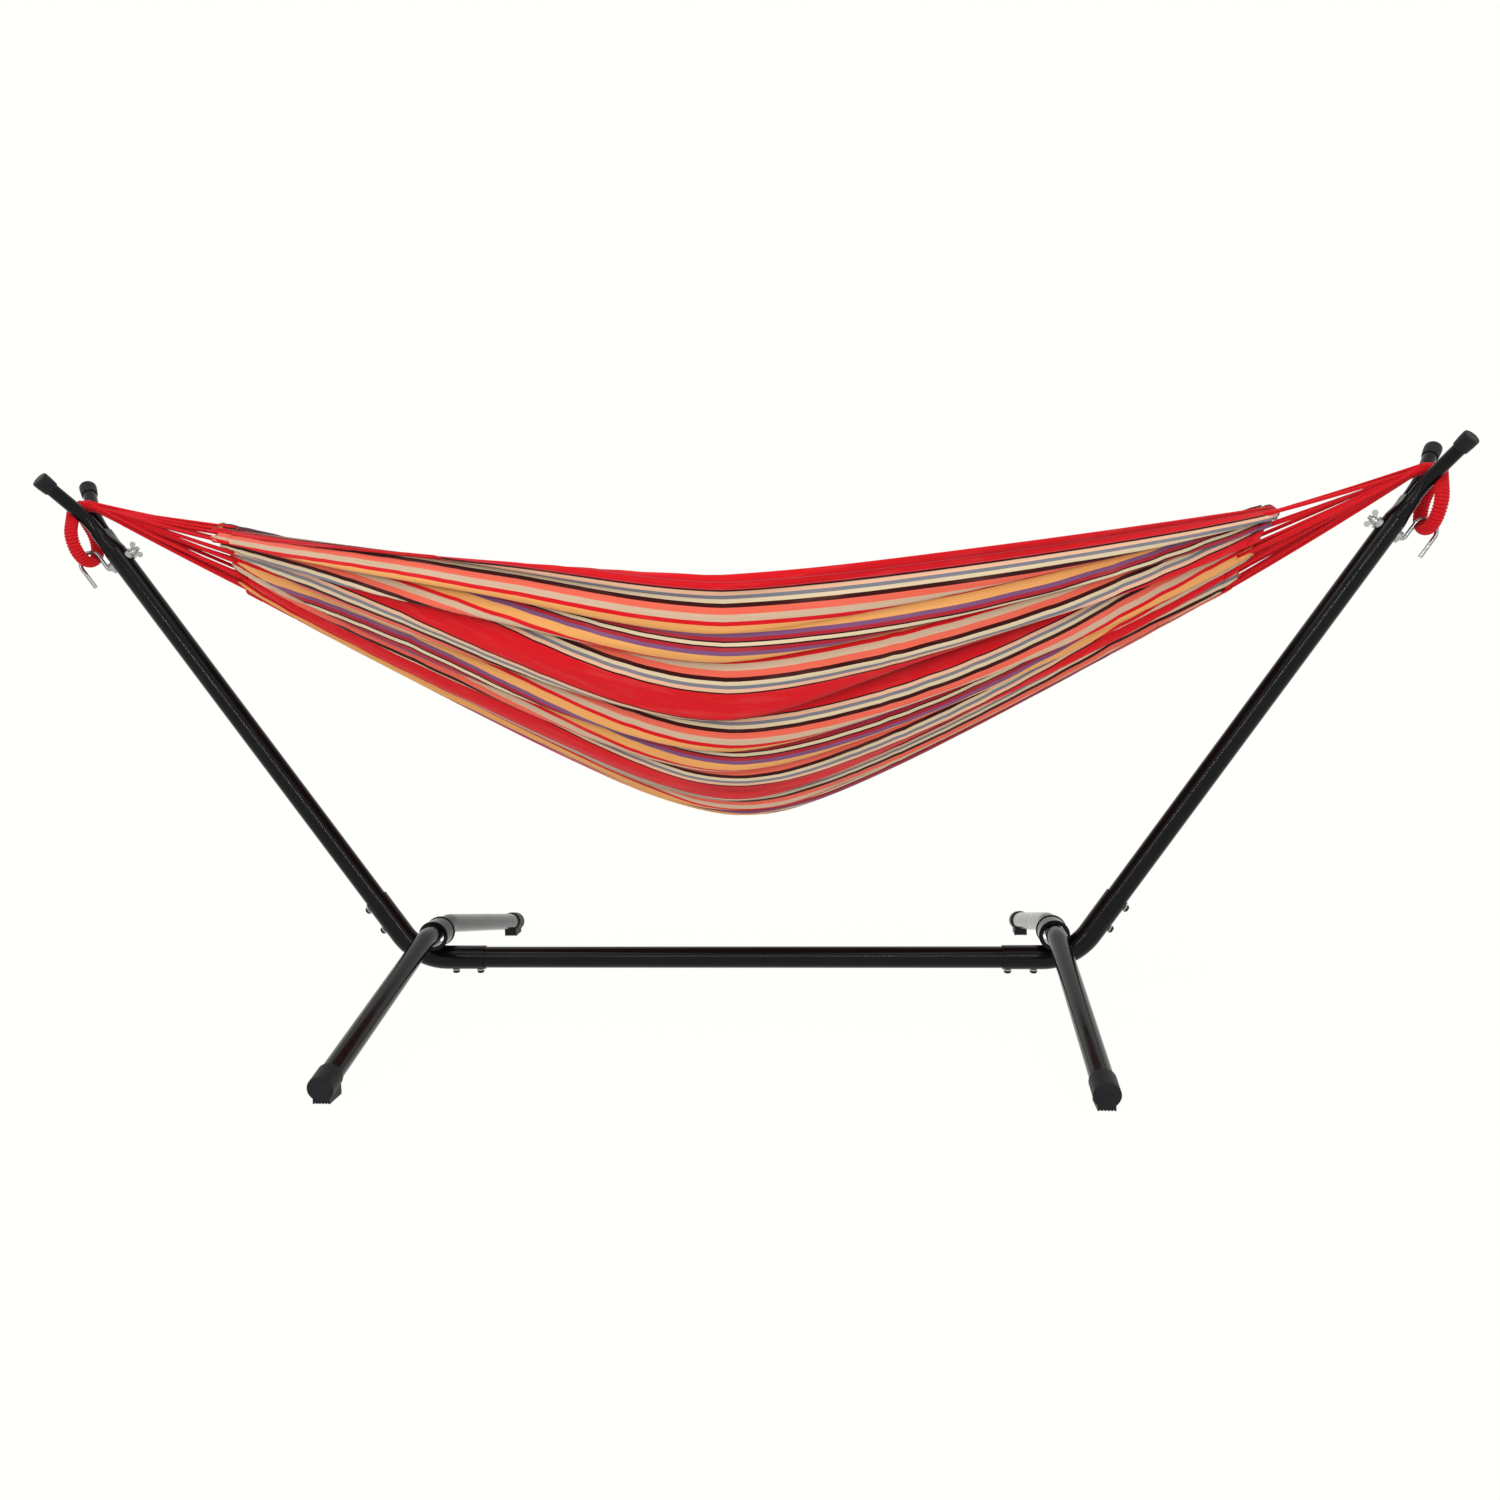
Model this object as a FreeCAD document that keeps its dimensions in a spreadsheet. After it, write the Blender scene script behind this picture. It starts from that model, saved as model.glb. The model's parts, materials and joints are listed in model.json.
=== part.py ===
"""A striped cotton hammock hung on a free-standing steel tube stand.

The stand is one base tube, two bent sleeves, two long arms that end in a
two-horned fork, and a cross leg through a ring at each end. The hammock hangs
by cord clews through the forks, and its wound end loops are caught by adjustable
hooks that are clamped through the arms by wing nuts.

Millimetres, +Z up, +X along the hammock, origin on the floor under the middle.
Every piece of one end is built for the +X end; the -X end is turned 180 degrees.
"""
import FreeCAD
import Part
import Sketcher

import math
import os

from FreeCAD import Placement, Rotation, Vector

DIMENSIONS = {
    # main tube, sleeves and arms
    "tube_od": 42.0,
    "tube_wall": 1.5,
    "sleeve_od": 47.0,
    "sleeve_wall": 2.2,
    "base_height": 86.0,
    "base_half_length": 584.0,
    "sleeve_start": 512.0,
    "sleeve_corner": 647.0,
    "sleeve_arm_end": 148.0,
    "bend_radius": 115.0,
    "arm_angle": 54.5,
    "arm_start": 66.0,
    "arm_round_end": 1012.0,
    "arm_flat_start": 1044.0,
    "arm_flat_end": 1058.0,
    # fork horns
    "horn_od": 26.0,
    "horn_wall": 1.5,
    "horn_spacing": 26.8,
    "horn_bend_start": 1058.0,
    "horn_bend_radius": 90.0,
    "horn_bend_angle": 38.0,
    "horn_straight": 83.5,
    "fork_cap_length": 30.0,
    "fork_cap_od": 33.0,
    "cap_end": 4.0,
    "mouth_gap": 0.2,
    # leg ring and legs
    "ring_x": 610.0,
    "ring_height": 134.5,
    "ring_od": 56.0,
    "ring_bore": 43.0,
    "ring_width": 52.0,
    "ring_lip": 1.6,
    "leg_od": 38.0,
    "leg_wall": 1.6,
    "leg_neck_od": 34.0,
    "leg_axis_height": 138.95,
    "leg_neck_back": 58.0,
    "leg_neck_front": 34.0,
    "leg_swage": 14.0,
    "leg_back_start": 28.0,
    "leg_bend_start": 60.0,
    "leg_bend_radius": 160.0,
    "leg_drop_angle": 11.8,
    "leg_straight": 540.0,
    "foot_cap_od": 43.5,
    "foot_cap_length": 46.0,
    "foot_pad_width": 28.0,
    "foot_pad_length": 50.0,
    "foot_pad_height": 24.0,
    "foot_tooth_pitch": 5.0,
    "foot_tooth_depth": 1.7,
    # bolts
    "bolt_od": 8.0,
    "bolt_head_af": 13.0,
    "bolt_head_height": 5.5,
    "bolt_hole": 8.6,
    "bolt_short": 8.0,
    "bolt_inset": 11.0,
    "bolt_spacing": 50.0,
    "washer_od": 14.5,
    "washer_bore": 8.4,
    "washer_thickness": 2.2,
    "press_nut_od": 14.0,
    "press_nut_bore": 8.1,
    "press_nut_height": 9.0,
    "press_nut_seat": 18.0,
    # hook, saddle washers and wing nut
    "hook_rod": 8.0,
    "hook_station": 990.0,
    "hook_thread_end": 43.0,
    "hook_first_bend": 7.6,
    "hook_reach": 33.8,
    "hook_lean": 0.0,
    "hook_leg": 27.0,
    "hook_crown_radius": 22.0,
    "hook_tail": 43.0,
    "hook_bore": 8.16,
    "saddle_od": 24.0,
    "saddle_face": 26.0,
    "wing_hub_od": 15.0,
    "wing_height": 11.0,
    "wing_reach": 12.5,
    "wing_lobe": 5.5,
    "wing_thickness": 2.6,
    "wing_lean": 32.0,
    "wing_gap": 0.3,
    # end loops
    "loop_od": 16.0,
    "loop_top_x": 1312.0,
    "loop_top_z": 1000.0,
    "loop_bottom_x": 1292.0,
    "loop_bottom_z": 888.0,
    "loop_top_radius": 12.0,
    "loop_bottom_radius": 44.0,
    # hammock
    "crotch_x": 1288.0,
    "crotch_z": 1002.0,
    "neck_od": 20.0,
    "neck_gap": 0.3,
    "bed_end_x": 1030.0,
    "bed_cloth": 6.0,
    "bed_half_width": 440.0,
    "bed_rim_z": 822.0,
    "bed_bottom_z": 373.0,
    "bed_end_half_width": 42.0,
    "bed_end_rim_z": 946.0,
    "bed_end_bottom_z": 830.0,
}

doc = FreeCAD.newDocument("hammock_on_stand")
sheet = doc.addObject("Spreadsheet::Sheet", "dims")
for row, (word, number) in enumerate(DIMENSIONS.items(), start=1):
    sheet.set(f"A{row}", word)
    sheet.set(f"B{row}", str(number))
    sheet.setAlias(f"B{row}", word)
doc.recompute()

pieces = []


def size(word):
    """The number in the sheet's cell of that name."""
    return float(sheet.get(word))


def value_of(expression):
    """The number that an expression of the sheet's cells comes to."""
    return float(sheet.evalExpression(expression))


def bind(thing, **expressions):
    """Bind properties of an object to expressions of the sheet's cells."""
    for prop, expression in expressions.items():
        thing.setExpression(prop, expression)
    return thing


def keep(thing, label):
    """Name an object as one of the finished sub-parts."""
    thing.Label = label
    pieces.append(thing)
    return thing


def turned(end, place=None):
    """A placement made for the +X end, carried to the asked end of the stand."""
    place = place or Placement()
    if end > 0:
        return place
    return Placement(Vector(), Rotation(Vector(0, 0, 1), 180)).multiply(place)


def end_name(end):
    return "right" if end > 0 else "left"


def across(end, y_side):
    """The name of a piece's side once its end of the stand is in place."""
    return "front" if y_side * end < 0 else "back"


# ---------------------------------------------------------------- shared solids

def cylinder(name, radius, height, base, direction):
    """A solid cylinder from base along direction; radius and height are expressions."""
    rod = doc.addObject("Part::Cylinder", name)
    bind(rod, Radius=radius, Height=height)
    rod.Placement = Placement(base, Rotation(Vector(0, 0, 1), direction))
    return rod


def cut(name, base, tool):
    result = doc.addObject("Part::Cut", name)
    result.Base = base
    result.Tool = tool
    return result


def group(name, members):
    """Separate solids kept together as one object."""
    result = doc.addObject("Part::Compound", name)
    result.Links = members
    return result


def fuse(name, members):
    result = doc.addObject("Part::MultiFuse", name)
    result.Shapes = members
    return result


XZ = Rotation(Vector(1, 0, 0), 90)
YZ = Rotation(Vector(1, 1, 1), 120)


class Route:
    """A sketch of straight runs joined by tangent arcs, in a vertical plane.

    Runs and turns are added in order, and each is held by a constraint that is
    bound to the sheet. Angles are in degrees from the plane's first axis.
    """

    def __init__(self, name, plane, start, heading):
        self.sketch = doc.addObject("Sketcher::SketchObject", name)
        self.sketch.Placement = Placement(Vector(), plane)
        self.plane = plane
        self.start = Vector(start[0], start[1], 0)
        self.point = Vector(self.start)
        self.heading = heading
        self.first_heading = heading
        self.last = None

    def direction(self):
        angle = math.radians(self.heading)
        return Vector(math.cos(angle), math.sin(angle), 0)

    def hold(self, constraint, expression):
        index = self.sketch.addConstraint(constraint)
        self.sketch.setExpression(f"Constraints[{index}]", expression)

    def join(self, edge, start_end):
        if self.last is not None:
            self.sketch.addConstraint(Sketcher.Constraint("Tangent", *self.last, edge, start_end))

    def run(self, length, expression):
        end = self.point + self.direction() * length
        edge = self.sketch.addGeometry(Part.LineSegment(self.point, end))
        if self.last is None:
            self.sketch.addConstraint(Sketcher.Constraint("DistanceX", edge, 1, self.point.x))
            self.sketch.addConstraint(Sketcher.Constraint("DistanceY", edge, 1, self.point.y))
            angle = math.radians(self.heading)
            self.sketch.addConstraint(Sketcher.Constraint("Angle", edge, angle))
        self.join(edge, 1)
        self.hold(Sketcher.Constraint("Distance", edge, length), expression)
        self.point = end
        self.last = (edge, 2)
        return self

    def turn(self, radius, expression, angle):
        """Turn left for a positive angle, and right for a negative one."""
        side = 1 if angle > 0 else -1
        ahead = self.direction()
        centre = self.point + Vector(-ahead.y, ahead.x, 0) * radius * side
        begin = math.atan2(self.point.y - centre.y, self.point.x - centre.x)
        finish = begin + math.radians(angle)
        circle = Part.Circle(centre, Vector(0, 0, 1), radius)
        low, high = sorted((begin, finish))
        edge = self.sketch.addGeometry(Part.ArcOfCircle(circle, low, high))
        first, last = (1, 2) if side > 0 else (2, 1)
        self.join(edge, first)
        self.hold(Sketcher.Constraint("Radius", edge, radius), expression)
        self.point = centre + Vector(math.cos(finish), math.sin(finish), 0) * radius
        self.heading += angle
        self.last = (edge, last)
        return self

    def in_space(self, point):
        return self.plane.multVec(point)

    def seat(self):
        """A placement at the route's end, its Z pointing on along the route."""
        ahead = self.in_space(self.direction())
        return Placement(self.in_space(self.point), Rotation(Vector(0, 0, 1), ahead))

    def solid(self, name, radius):
        """A round bar of that radius along the route."""
        section = doc.addObject("Part::Circle", f"{name}_section")
        bind(section, Radius=radius)
        angle = math.radians(self.first_heading)
        ahead = self.in_space(Vector(math.cos(angle), math.sin(angle), 0))
        section.Placement = Placement(self.in_space(self.start), Rotation(Vector(0, 0, 1), ahead))
        bar = doc.addObject("Part::Sweep", name)
        bar.Sections = [section]
        bar.Spine = (self.sketch, [])
        bar.Solid = True
        bar.Frenet = True
        return bar


def bent_tube(name, route, outside, inside):
    """A hollow tube along a route; outside and inside are radius expressions."""
    outer = route.solid(f"{name}_outside", outside)
    inner = route.solid(f"{name}_inside", inside)
    return cut(name, outer, inner), outer


# ---------------------------------------------------------------- sketch outlines

def plane_of(body, role):
    return [plane for plane in body.Origin.OriginFeatures if plane.Role == role][0]


def flat_sketch(body, name, role, height=None):
    """A sketch on a body's own plane, lifted by an expression."""
    sketch = body.newObject("Sketcher::SketchObject", name)
    sketch.AttachmentSupport = [(plane_of(body, role), "")]
    sketch.MapMode = "FlatFace"
    if height:
        sketch.setExpression("AttachmentOffset.Base.z", height)
    return sketch


def ring_outline(sketch, radius, expression):
    """A circle round the sketch's origin."""
    edge = sketch.addGeometry(Part.Circle(Vector(), Vector(0, 0, 1), radius))
    sketch.addConstraint(Sketcher.Constraint("Coincident", edge, 3, -1, 1))
    index = sketch.addConstraint(Sketcher.Constraint("Radius", edge, radius))
    sketch.setExpression(f"Constraints[{index}]", expression)


def spot_outline(sketch, x, y, radius, expressions):
    """A circle at x, y; expressions are those of x, y and the radius."""
    edge = sketch.addGeometry(Part.Circle(Vector(x, y, 0), Vector(0, 0, 1), radius))
    held = (
        Sketcher.Constraint("DistanceX", -1, 1, edge, 3, x),
        Sketcher.Constraint("DistanceY", -1, 1, edge, 3, y),
        Sketcher.Constraint("Radius", edge, radius),
    )
    for constraint, expression in zip(held, expressions):
        index = sketch.addConstraint(constraint)
        if expression:
            sketch.setExpression(f"Constraints[{index}]", expression)


def slot_outline(sketch, radius, half_spacing, radius_expression, spacing_expression):
    """A slot along the sketch's Y axis round two neighbouring horn tubes."""
    up = Part.Circle(Vector(0, half_spacing, 0), Vector(0, 0, 1), radius)
    down = Part.Circle(Vector(0, -half_spacing, 0), Vector(0, 0, 1), radius)
    top = sketch.addGeometry(Part.ArcOfCircle(up, 0, math.pi))
    left = sketch.addGeometry(
        Part.LineSegment(Vector(-radius, half_spacing, 0), Vector(-radius, -half_spacing, 0))
    )
    bottom = sketch.addGeometry(Part.ArcOfCircle(down, math.pi, 2 * math.pi))
    right = sketch.addGeometry(
        Part.LineSegment(Vector(radius, -half_spacing, 0), Vector(radius, half_spacing, 0))
    )
    for first, second in ((top, left), (left, bottom), (bottom, right), (right, top)):
        sketch.addConstraint(Sketcher.Constraint("Tangent", first, 2, second, 1))
    sketch.addConstraint(Sketcher.Constraint("Vertical", left))
    sketch.addConstraint(Sketcher.Constraint("Symmetric", top, 3, bottom, 3, -1, 1))
    width = sketch.addConstraint(Sketcher.Constraint("Radius", top, radius))
    reach = sketch.addConstraint(Sketcher.Constraint("DistanceY", -1, 1, top, 3, half_spacing))
    sketch.setExpression(f"Constraints[{width}]", radius_expression)
    sketch.setExpression(f"Constraints[{reach}]", spacing_expression)


def pad(body, name, sketch, length, midplane=False):
    feature = body.newObject("PartDesign::Pad", name)
    feature.Profile = sketch
    feature.Midplane = midplane
    feature.setExpression("Length", length)
    return feature


def pocket_through(body, name, sketch, midplane=False, reverse=False):
    feature = body.newObject("PartDesign::Pocket", name)
    feature.Profile = sketch
    feature.Type = "ThroughAll"
    feature.Midplane = midplane
    feature.Reversed = reverse
    return feature


def profile_of(sketch, corners):
    """A closed outline of straight edges. Each corner is two expressions, x and y."""
    numbers = [(value_of(x), value_of(y)) for x, y in corners]
    points = [Vector(x, y, 0) for x, y in numbers]
    edges = []
    for here, there in zip(points, points[1:] + points[:1]):
        edges.append(sketch.addGeometry(Part.LineSegment(here, there)))
    for first, second in zip(edges, edges[1:] + edges[:1]):
        sketch.addConstraint(Sketcher.Constraint("Coincident", first, 2, second, 1))
    for edge, words, numbers_here in zip(edges, corners, numbers):
        for kind, expression, number in zip(("DistanceX", "DistanceY"), words, numbers_here):
            index = sketch.addConstraint(Sketcher.Constraint(kind, -1, 1, edge, 1, number))
            sketch.setExpression(f"Constraints[{index}]", expression)


# ---------------------------------------------------------------- arm's own frame

def arm_place():
    """The arm's frame: its axis is Z, the stand's outer side is +X."""
    corner = Vector(size("sleeve_corner"), 0, size("base_height"))
    return Placement(corner, Rotation(Vector(0, 1, 0), 90 - size("arm_angle")))


def on_arm(out, across_y, along):
    """A point given in the arm's frame, in the stand's frame."""
    return arm_place().multVec(Vector(out, across_y, along))


def arm_vector(x, y, z):
    return arm_place().Rotation.multVec(Vector(x, y, z))


# ---------------------------------------------------------------- base and sleeves

BOLT_BASE = ("dims.sleeve_start + dims.bolt_inset",
             "dims.sleeve_start + dims.bolt_inset + dims.bolt_spacing")
BOLT_ARM = ("dims.sleeve_arm_end - dims.bolt_inset",
            "dims.sleeve_arm_end - dims.bolt_inset - dims.bolt_spacing")


def bolt_stations():
    """Where each bolt of one end crosses its tube's axis, and which way its head points."""
    first = size("sleeve_start") + size("bolt_inset")
    last = size("sleeve_arm_end") - size("bolt_inset")
    step = size("bolt_spacing")
    stations = []
    for x in (first, first + step):
        stations.append((Vector(x, 0, size("base_height")), Vector(0, 0, -1)))
    for along in (last, last - step):
        stations.append((on_arm(0, 0, along), arm_vector(1, 0, 0)))
    return stations


def make_base_tube():
    body = doc.addObject("PartDesign::Body", "base_tube")
    wall = flat_sketch(body, "base_section", "YZ_Plane")
    ring_outline(wall, size("tube_od") / 2, "dims.tube_od / 2")
    ring_outline(wall, size("tube_od") / 2 - size("tube_wall"), "dims.tube_od / 2 - dims.tube_wall")
    pad(body, "base_wall", wall, "2 * dims.base_half_length", midplane=True)
    holes = flat_sketch(body, "base_holes", "XY_Plane")
    first = size("sleeve_start") + size("bolt_inset")
    for offset, expression in zip((0, size("bolt_spacing")), BOLT_BASE):
        for side in (1, -1):
            sign = "" if side > 0 else "-"
            spot_outline(holes, side * (first + offset), 0, size("bolt_hole") / 2,
                         (f"{sign}({expression})", None, "dims.bolt_hole / 2"))
    pocket_through(body, "base_drilling", holes)
    body.Placement = Placement(Vector(0, 0, size("base_height")), Rotation())
    keep(body, "base_tube")


def sleeve_route(name):
    tangent = size("bend_radius") * math.tan(math.radians(size("arm_angle") / 2))
    first = size("sleeve_corner") - tangent - size("sleeve_start")
    last = size("sleeve_arm_end") - tangent
    reach = "dims.bend_radius * tan(dims.arm_angle * 1 deg / 2)"
    route = Route(name, XZ, (size("sleeve_start"), size("base_height")), 0)
    route.run(first, f"dims.sleeve_corner - dims.sleeve_start - {reach}")
    route.turn(size("bend_radius"), "dims.bend_radius", size("arm_angle"))
    route.run(last, f"dims.sleeve_arm_end - {reach}")
    return route


def make_sleeve(end):
    """The bent sleeve that joins base and arm, and the leg ring welded on it."""
    name = end_name(end)
    route = sleeve_route(f"{name}_sleeve_route")
    tube, outer = bent_tube(f"{name}_sleeve_tube", route, "dims.sleeve_od / 2",
                            "dims.sleeve_od / 2 - dims.sleeve_wall")
    drills = []
    for index, (point, way) in enumerate(bolt_stations()):
        drills.append(cylinder(f"{name}_sleeve_drill_{index}", "dims.bolt_hole / 2",
                               "dims.sleeve_od", point, way))
    sleeve = cut(f"{name}_sleeve", tube, group(f"{name}_sleeve_drills", drills))
    sleeve.Placement = turned(end)
    keep(sleeve, f"{name}_corner_sleeve")

    middle = Vector(size("ring_x"), 0, size("ring_height"))
    half = size("ring_width") / 2
    back = middle - Vector(0, half, 0)
    lip = size("ring_lip")
    shell = cylinder(f"{name}_ring_shell", "dims.ring_od / 2", "dims.ring_width", back, Vector(0, 1, 0))
    lips = []
    for index, y in enumerate((-half, half - 2 * lip)):
        lips.append(cylinder(f"{name}_ring_lip_{index}", "dims.ring_od / 2 + dims.ring_lip",
                             "2 * dims.ring_lip", middle + Vector(0, y, 0), Vector(0, 1, 0)))
    whole = fuse(f"{name}_ring_whole", [shell, *lips])
    bore = cylinder(f"{name}_ring_bore", "dims.ring_bore / 2", "2 * dims.ring_width",
                    middle - Vector(0, size("ring_width"), 0), Vector(0, 1, 0))
    open_ring = cut(f"{name}_ring_open", whole, bore)
    ring = cut(f"{name}_ring", open_ring, outer)
    ring.Placement = turned(end)
    keep(ring, f"{name}_leg_ring")


# ---------------------------------------------------------------- arms and forks

def make_arm(end):
    """A round arm tube, pressed to a slot round the two horns at its top."""
    name = end_name(end)
    body = doc.addObject("PartDesign::Body", f"{name}_arm")
    outer, inner = size("tube_od") / 2, size("tube_od") / 2 - size("tube_wall")
    outer_words, inner_words = "dims.tube_od / 2", "dims.tube_od / 2 - dims.tube_wall"
    slot_inner = size("horn_od") / 2 + size("mouth_gap")
    slot_outer = slot_inner + size("tube_wall")
    slot_inner_words = "dims.horn_od / 2 + dims.mouth_gap"
    slot_outer_words = f"{slot_inner_words} + dims.tube_wall"
    half, half_words = size("horn_spacing") / 2, "dims.horn_spacing / 2"

    wall = flat_sketch(body, f"{name}_arm_section", "XY_Plane", "dims.arm_start")
    ring_outline(wall, outer, outer_words)
    ring_outline(wall, inner, inner_words)
    pad(body, f"{name}_arm_round", wall, "dims.arm_round_end - dims.arm_start")

    for word, kind, radius, radius_words, slot, slot_words in (
        ("outside", "PartDesign::AdditiveLoft", outer, outer_words, slot_outer, slot_outer_words),
        ("inside", "PartDesign::SubtractiveLoft", inner, inner_words, slot_inner, slot_inner_words),
    ):
        start = flat_sketch(body, f"{name}_{word}_circle", "XY_Plane", "dims.arm_round_end")
        ring_outline(start, radius, radius_words)
        finish = flat_sketch(body, f"{name}_{word}_slot", "XY_Plane", "dims.arm_flat_start")
        slot_outline(finish, slot, half, slot_words, half_words)
        loft = body.newObject(kind, f"{name}_pressed_{word}")
        loft.Profile = start
        loft.Sections = [finish]
        loft.Ruled = True

    mouth = flat_sketch(body, f"{name}_mouth_section", "XY_Plane", "dims.arm_flat_start")
    slot_outline(mouth, slot_outer, half, slot_outer_words, half_words)
    slot_outline(mouth, slot_inner, half, slot_inner_words, half_words)
    pad(body, f"{name}_arm_mouth", mouth, "dims.arm_flat_end - dims.arm_flat_start")

    through = flat_sketch(body, f"{name}_hook_hole", "YZ_Plane")
    spot_outline(through, 0, size("hook_station"), size("hook_bore") / 2,
                 (None, "dims.hook_station", "dims.hook_bore / 2"))
    pocket_through(body, f"{name}_hook_drilling", through, midplane=True)

    holes = flat_sketch(body, f"{name}_arm_holes", "YZ_Plane")
    last = size("sleeve_arm_end") - size("bolt_inset")
    for offset, expression in zip((0, size("bolt_spacing")), BOLT_ARM):
        spot_outline(holes, 0, last - offset, size("bolt_hole") / 2,
                     (None, expression, "dims.bolt_hole / 2"))
    pocket_through(body, f"{name}_arm_drilling", holes, reverse=True)
    body.Placement = turned(end, arm_place())
    keep(body, f"{name}_arm_tube")


def make_horn(end, y_side):
    """One horn of the fork and the rubber cap on its tip."""
    name = f"{end_name(end)}_{across(end, y_side)}_horn"
    half = size("horn_spacing") / 2
    start = (y_side * half, size("arm_flat_start"))
    lead = size("horn_bend_start") - size("arm_flat_start")
    angle = size("horn_bend_angle")
    route = Route(f"{name}_route", YZ, start, 90)
    route.run(lead, "dims.horn_bend_start - dims.arm_flat_start")
    route.turn(size("horn_bend_radius"), "dims.horn_bend_radius", -y_side * angle)
    route.run(size("horn_straight"), "dims.horn_straight")
    horn, _ = bent_tube(f"{name}_tube", route, "dims.horn_od / 2", "dims.horn_od / 2 - dims.horn_wall")
    horn.Placement = turned(end, arm_place())
    keep(horn, name)

    cap = make_cap(f"{name}_cap", "dims.horn_od / 2", "dims.fork_cap_od / 2", "dims.fork_cap_length")
    cap.Placement = turned(end, arm_place().multiply(route.seat()))
    keep(cap, f"{name}_cap")


def make_cap(name, tube_radius, cap_radius, length):
    """A push-on rubber cap with a flared mouth, closed a little beyond the tube's end."""
    body = doc.addObject("PartDesign::Body", name)
    outline = flat_sketch(body, f"{name}_outline", "XZ_Plane")
    mouth = f"dims.cap_end - {length}"
    profile_of(outline, (
        ("0", "0"),
        (tube_radius, "0"),
        (tube_radius, mouth),
        (f"{tube_radius} + 1.4", mouth),
        (f"{tube_radius} + 2.2", f"{mouth} + 0.8"),
        (cap_radius, f"dims.cap_end - {length} * 0.45"),
        (cap_radius, "dims.cap_end - 3"),
        (f"{cap_radius} - 0.9", "dims.cap_end - 0.9"),
        (f"{cap_radius} - 3", "dims.cap_end"),
        ("0", "dims.cap_end"),
    ))
    spin = body.newObject("PartDesign::Revolution", f"{name}_spin")
    spin.Profile = outline
    spin.ReferenceAxis = (outline, ["V_Axis"])
    spin.Angle = 360
    return body


# ---------------------------------------------------------------- legs and feet

def leg_route(name, y_side):
    """Out from the ring, a slight bend down, then straight to the foot."""
    if y_side < 0:
        first, words = -size("leg_neck_front") - size("leg_swage"), "dims.leg_neck_front + dims.leg_swage"
    else:
        first, words = size("leg_back_start"), "dims.leg_back_start"
    heading = 180 if y_side < 0 else 0
    route = Route(name, YZ, (first, size("leg_axis_height")), heading)
    route.run(size("leg_bend_start") - abs(first), f"dims.leg_bend_start - ({words})")
    route.turn(size("leg_bend_radius"), "dims.leg_bend_radius", -y_side * size("leg_drop_angle"))
    route.run(size("leg_straight"), "dims.leg_straight")
    return route


def neck_solid(name, route, neck, tube):
    """The front leg's straight neck, its swage and its bent tube, as one solid bar."""
    height = size("leg_axis_height")
    toward_front = Vector(0, -1, 0)
    narrow = cylinder(f"{name}_neck", neck, "dims.leg_neck_back + dims.leg_neck_front",
                      Vector(0, size("leg_neck_back"), height), toward_front)
    swage = doc.addObject("Part::Cone", f"{name}_swage")
    bind(swage, Radius1=neck, Radius2=tube, Height="dims.leg_swage")
    swage.Placement = Placement(Vector(0, -size("leg_neck_front"), height),
                                Rotation(Vector(0, 0, 1), toward_front))
    return fuse(name, [narrow, swage, route.solid(f"{name}_bar", tube)])


def make_leg(end, y_side):
    """A leg tube. The one with the neck runs on through the ring, into the other."""
    name = f"{end_name(end)}_{across(end, y_side)}_leg"
    place = turned(end, Placement(Vector(size("ring_x"), 0, 0), Rotation()))
    route = leg_route(f"{name}_route", y_side)
    if y_side < 0:
        outer = neck_solid(f"{name}_outside", route, "dims.leg_neck_od / 2", "dims.leg_od / 2")
        inner = neck_solid(f"{name}_inside", route, "dims.leg_neck_od / 2 - dims.leg_wall",
                           "dims.leg_od / 2 - dims.leg_wall")
        leg = cut(f"{name}_tube", outer, inner)
    else:
        leg, _ = bent_tube(f"{name}_tube", route, "dims.leg_od / 2", "dims.leg_od / 2 - dims.leg_wall")
    leg.Placement = place
    keep(leg, name)
    foot_name = name.replace("_leg", "_foot")
    foot = make_foot(foot_name, route.seat(), y_side)
    foot.Placement = place
    keep(foot, foot_name)


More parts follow.
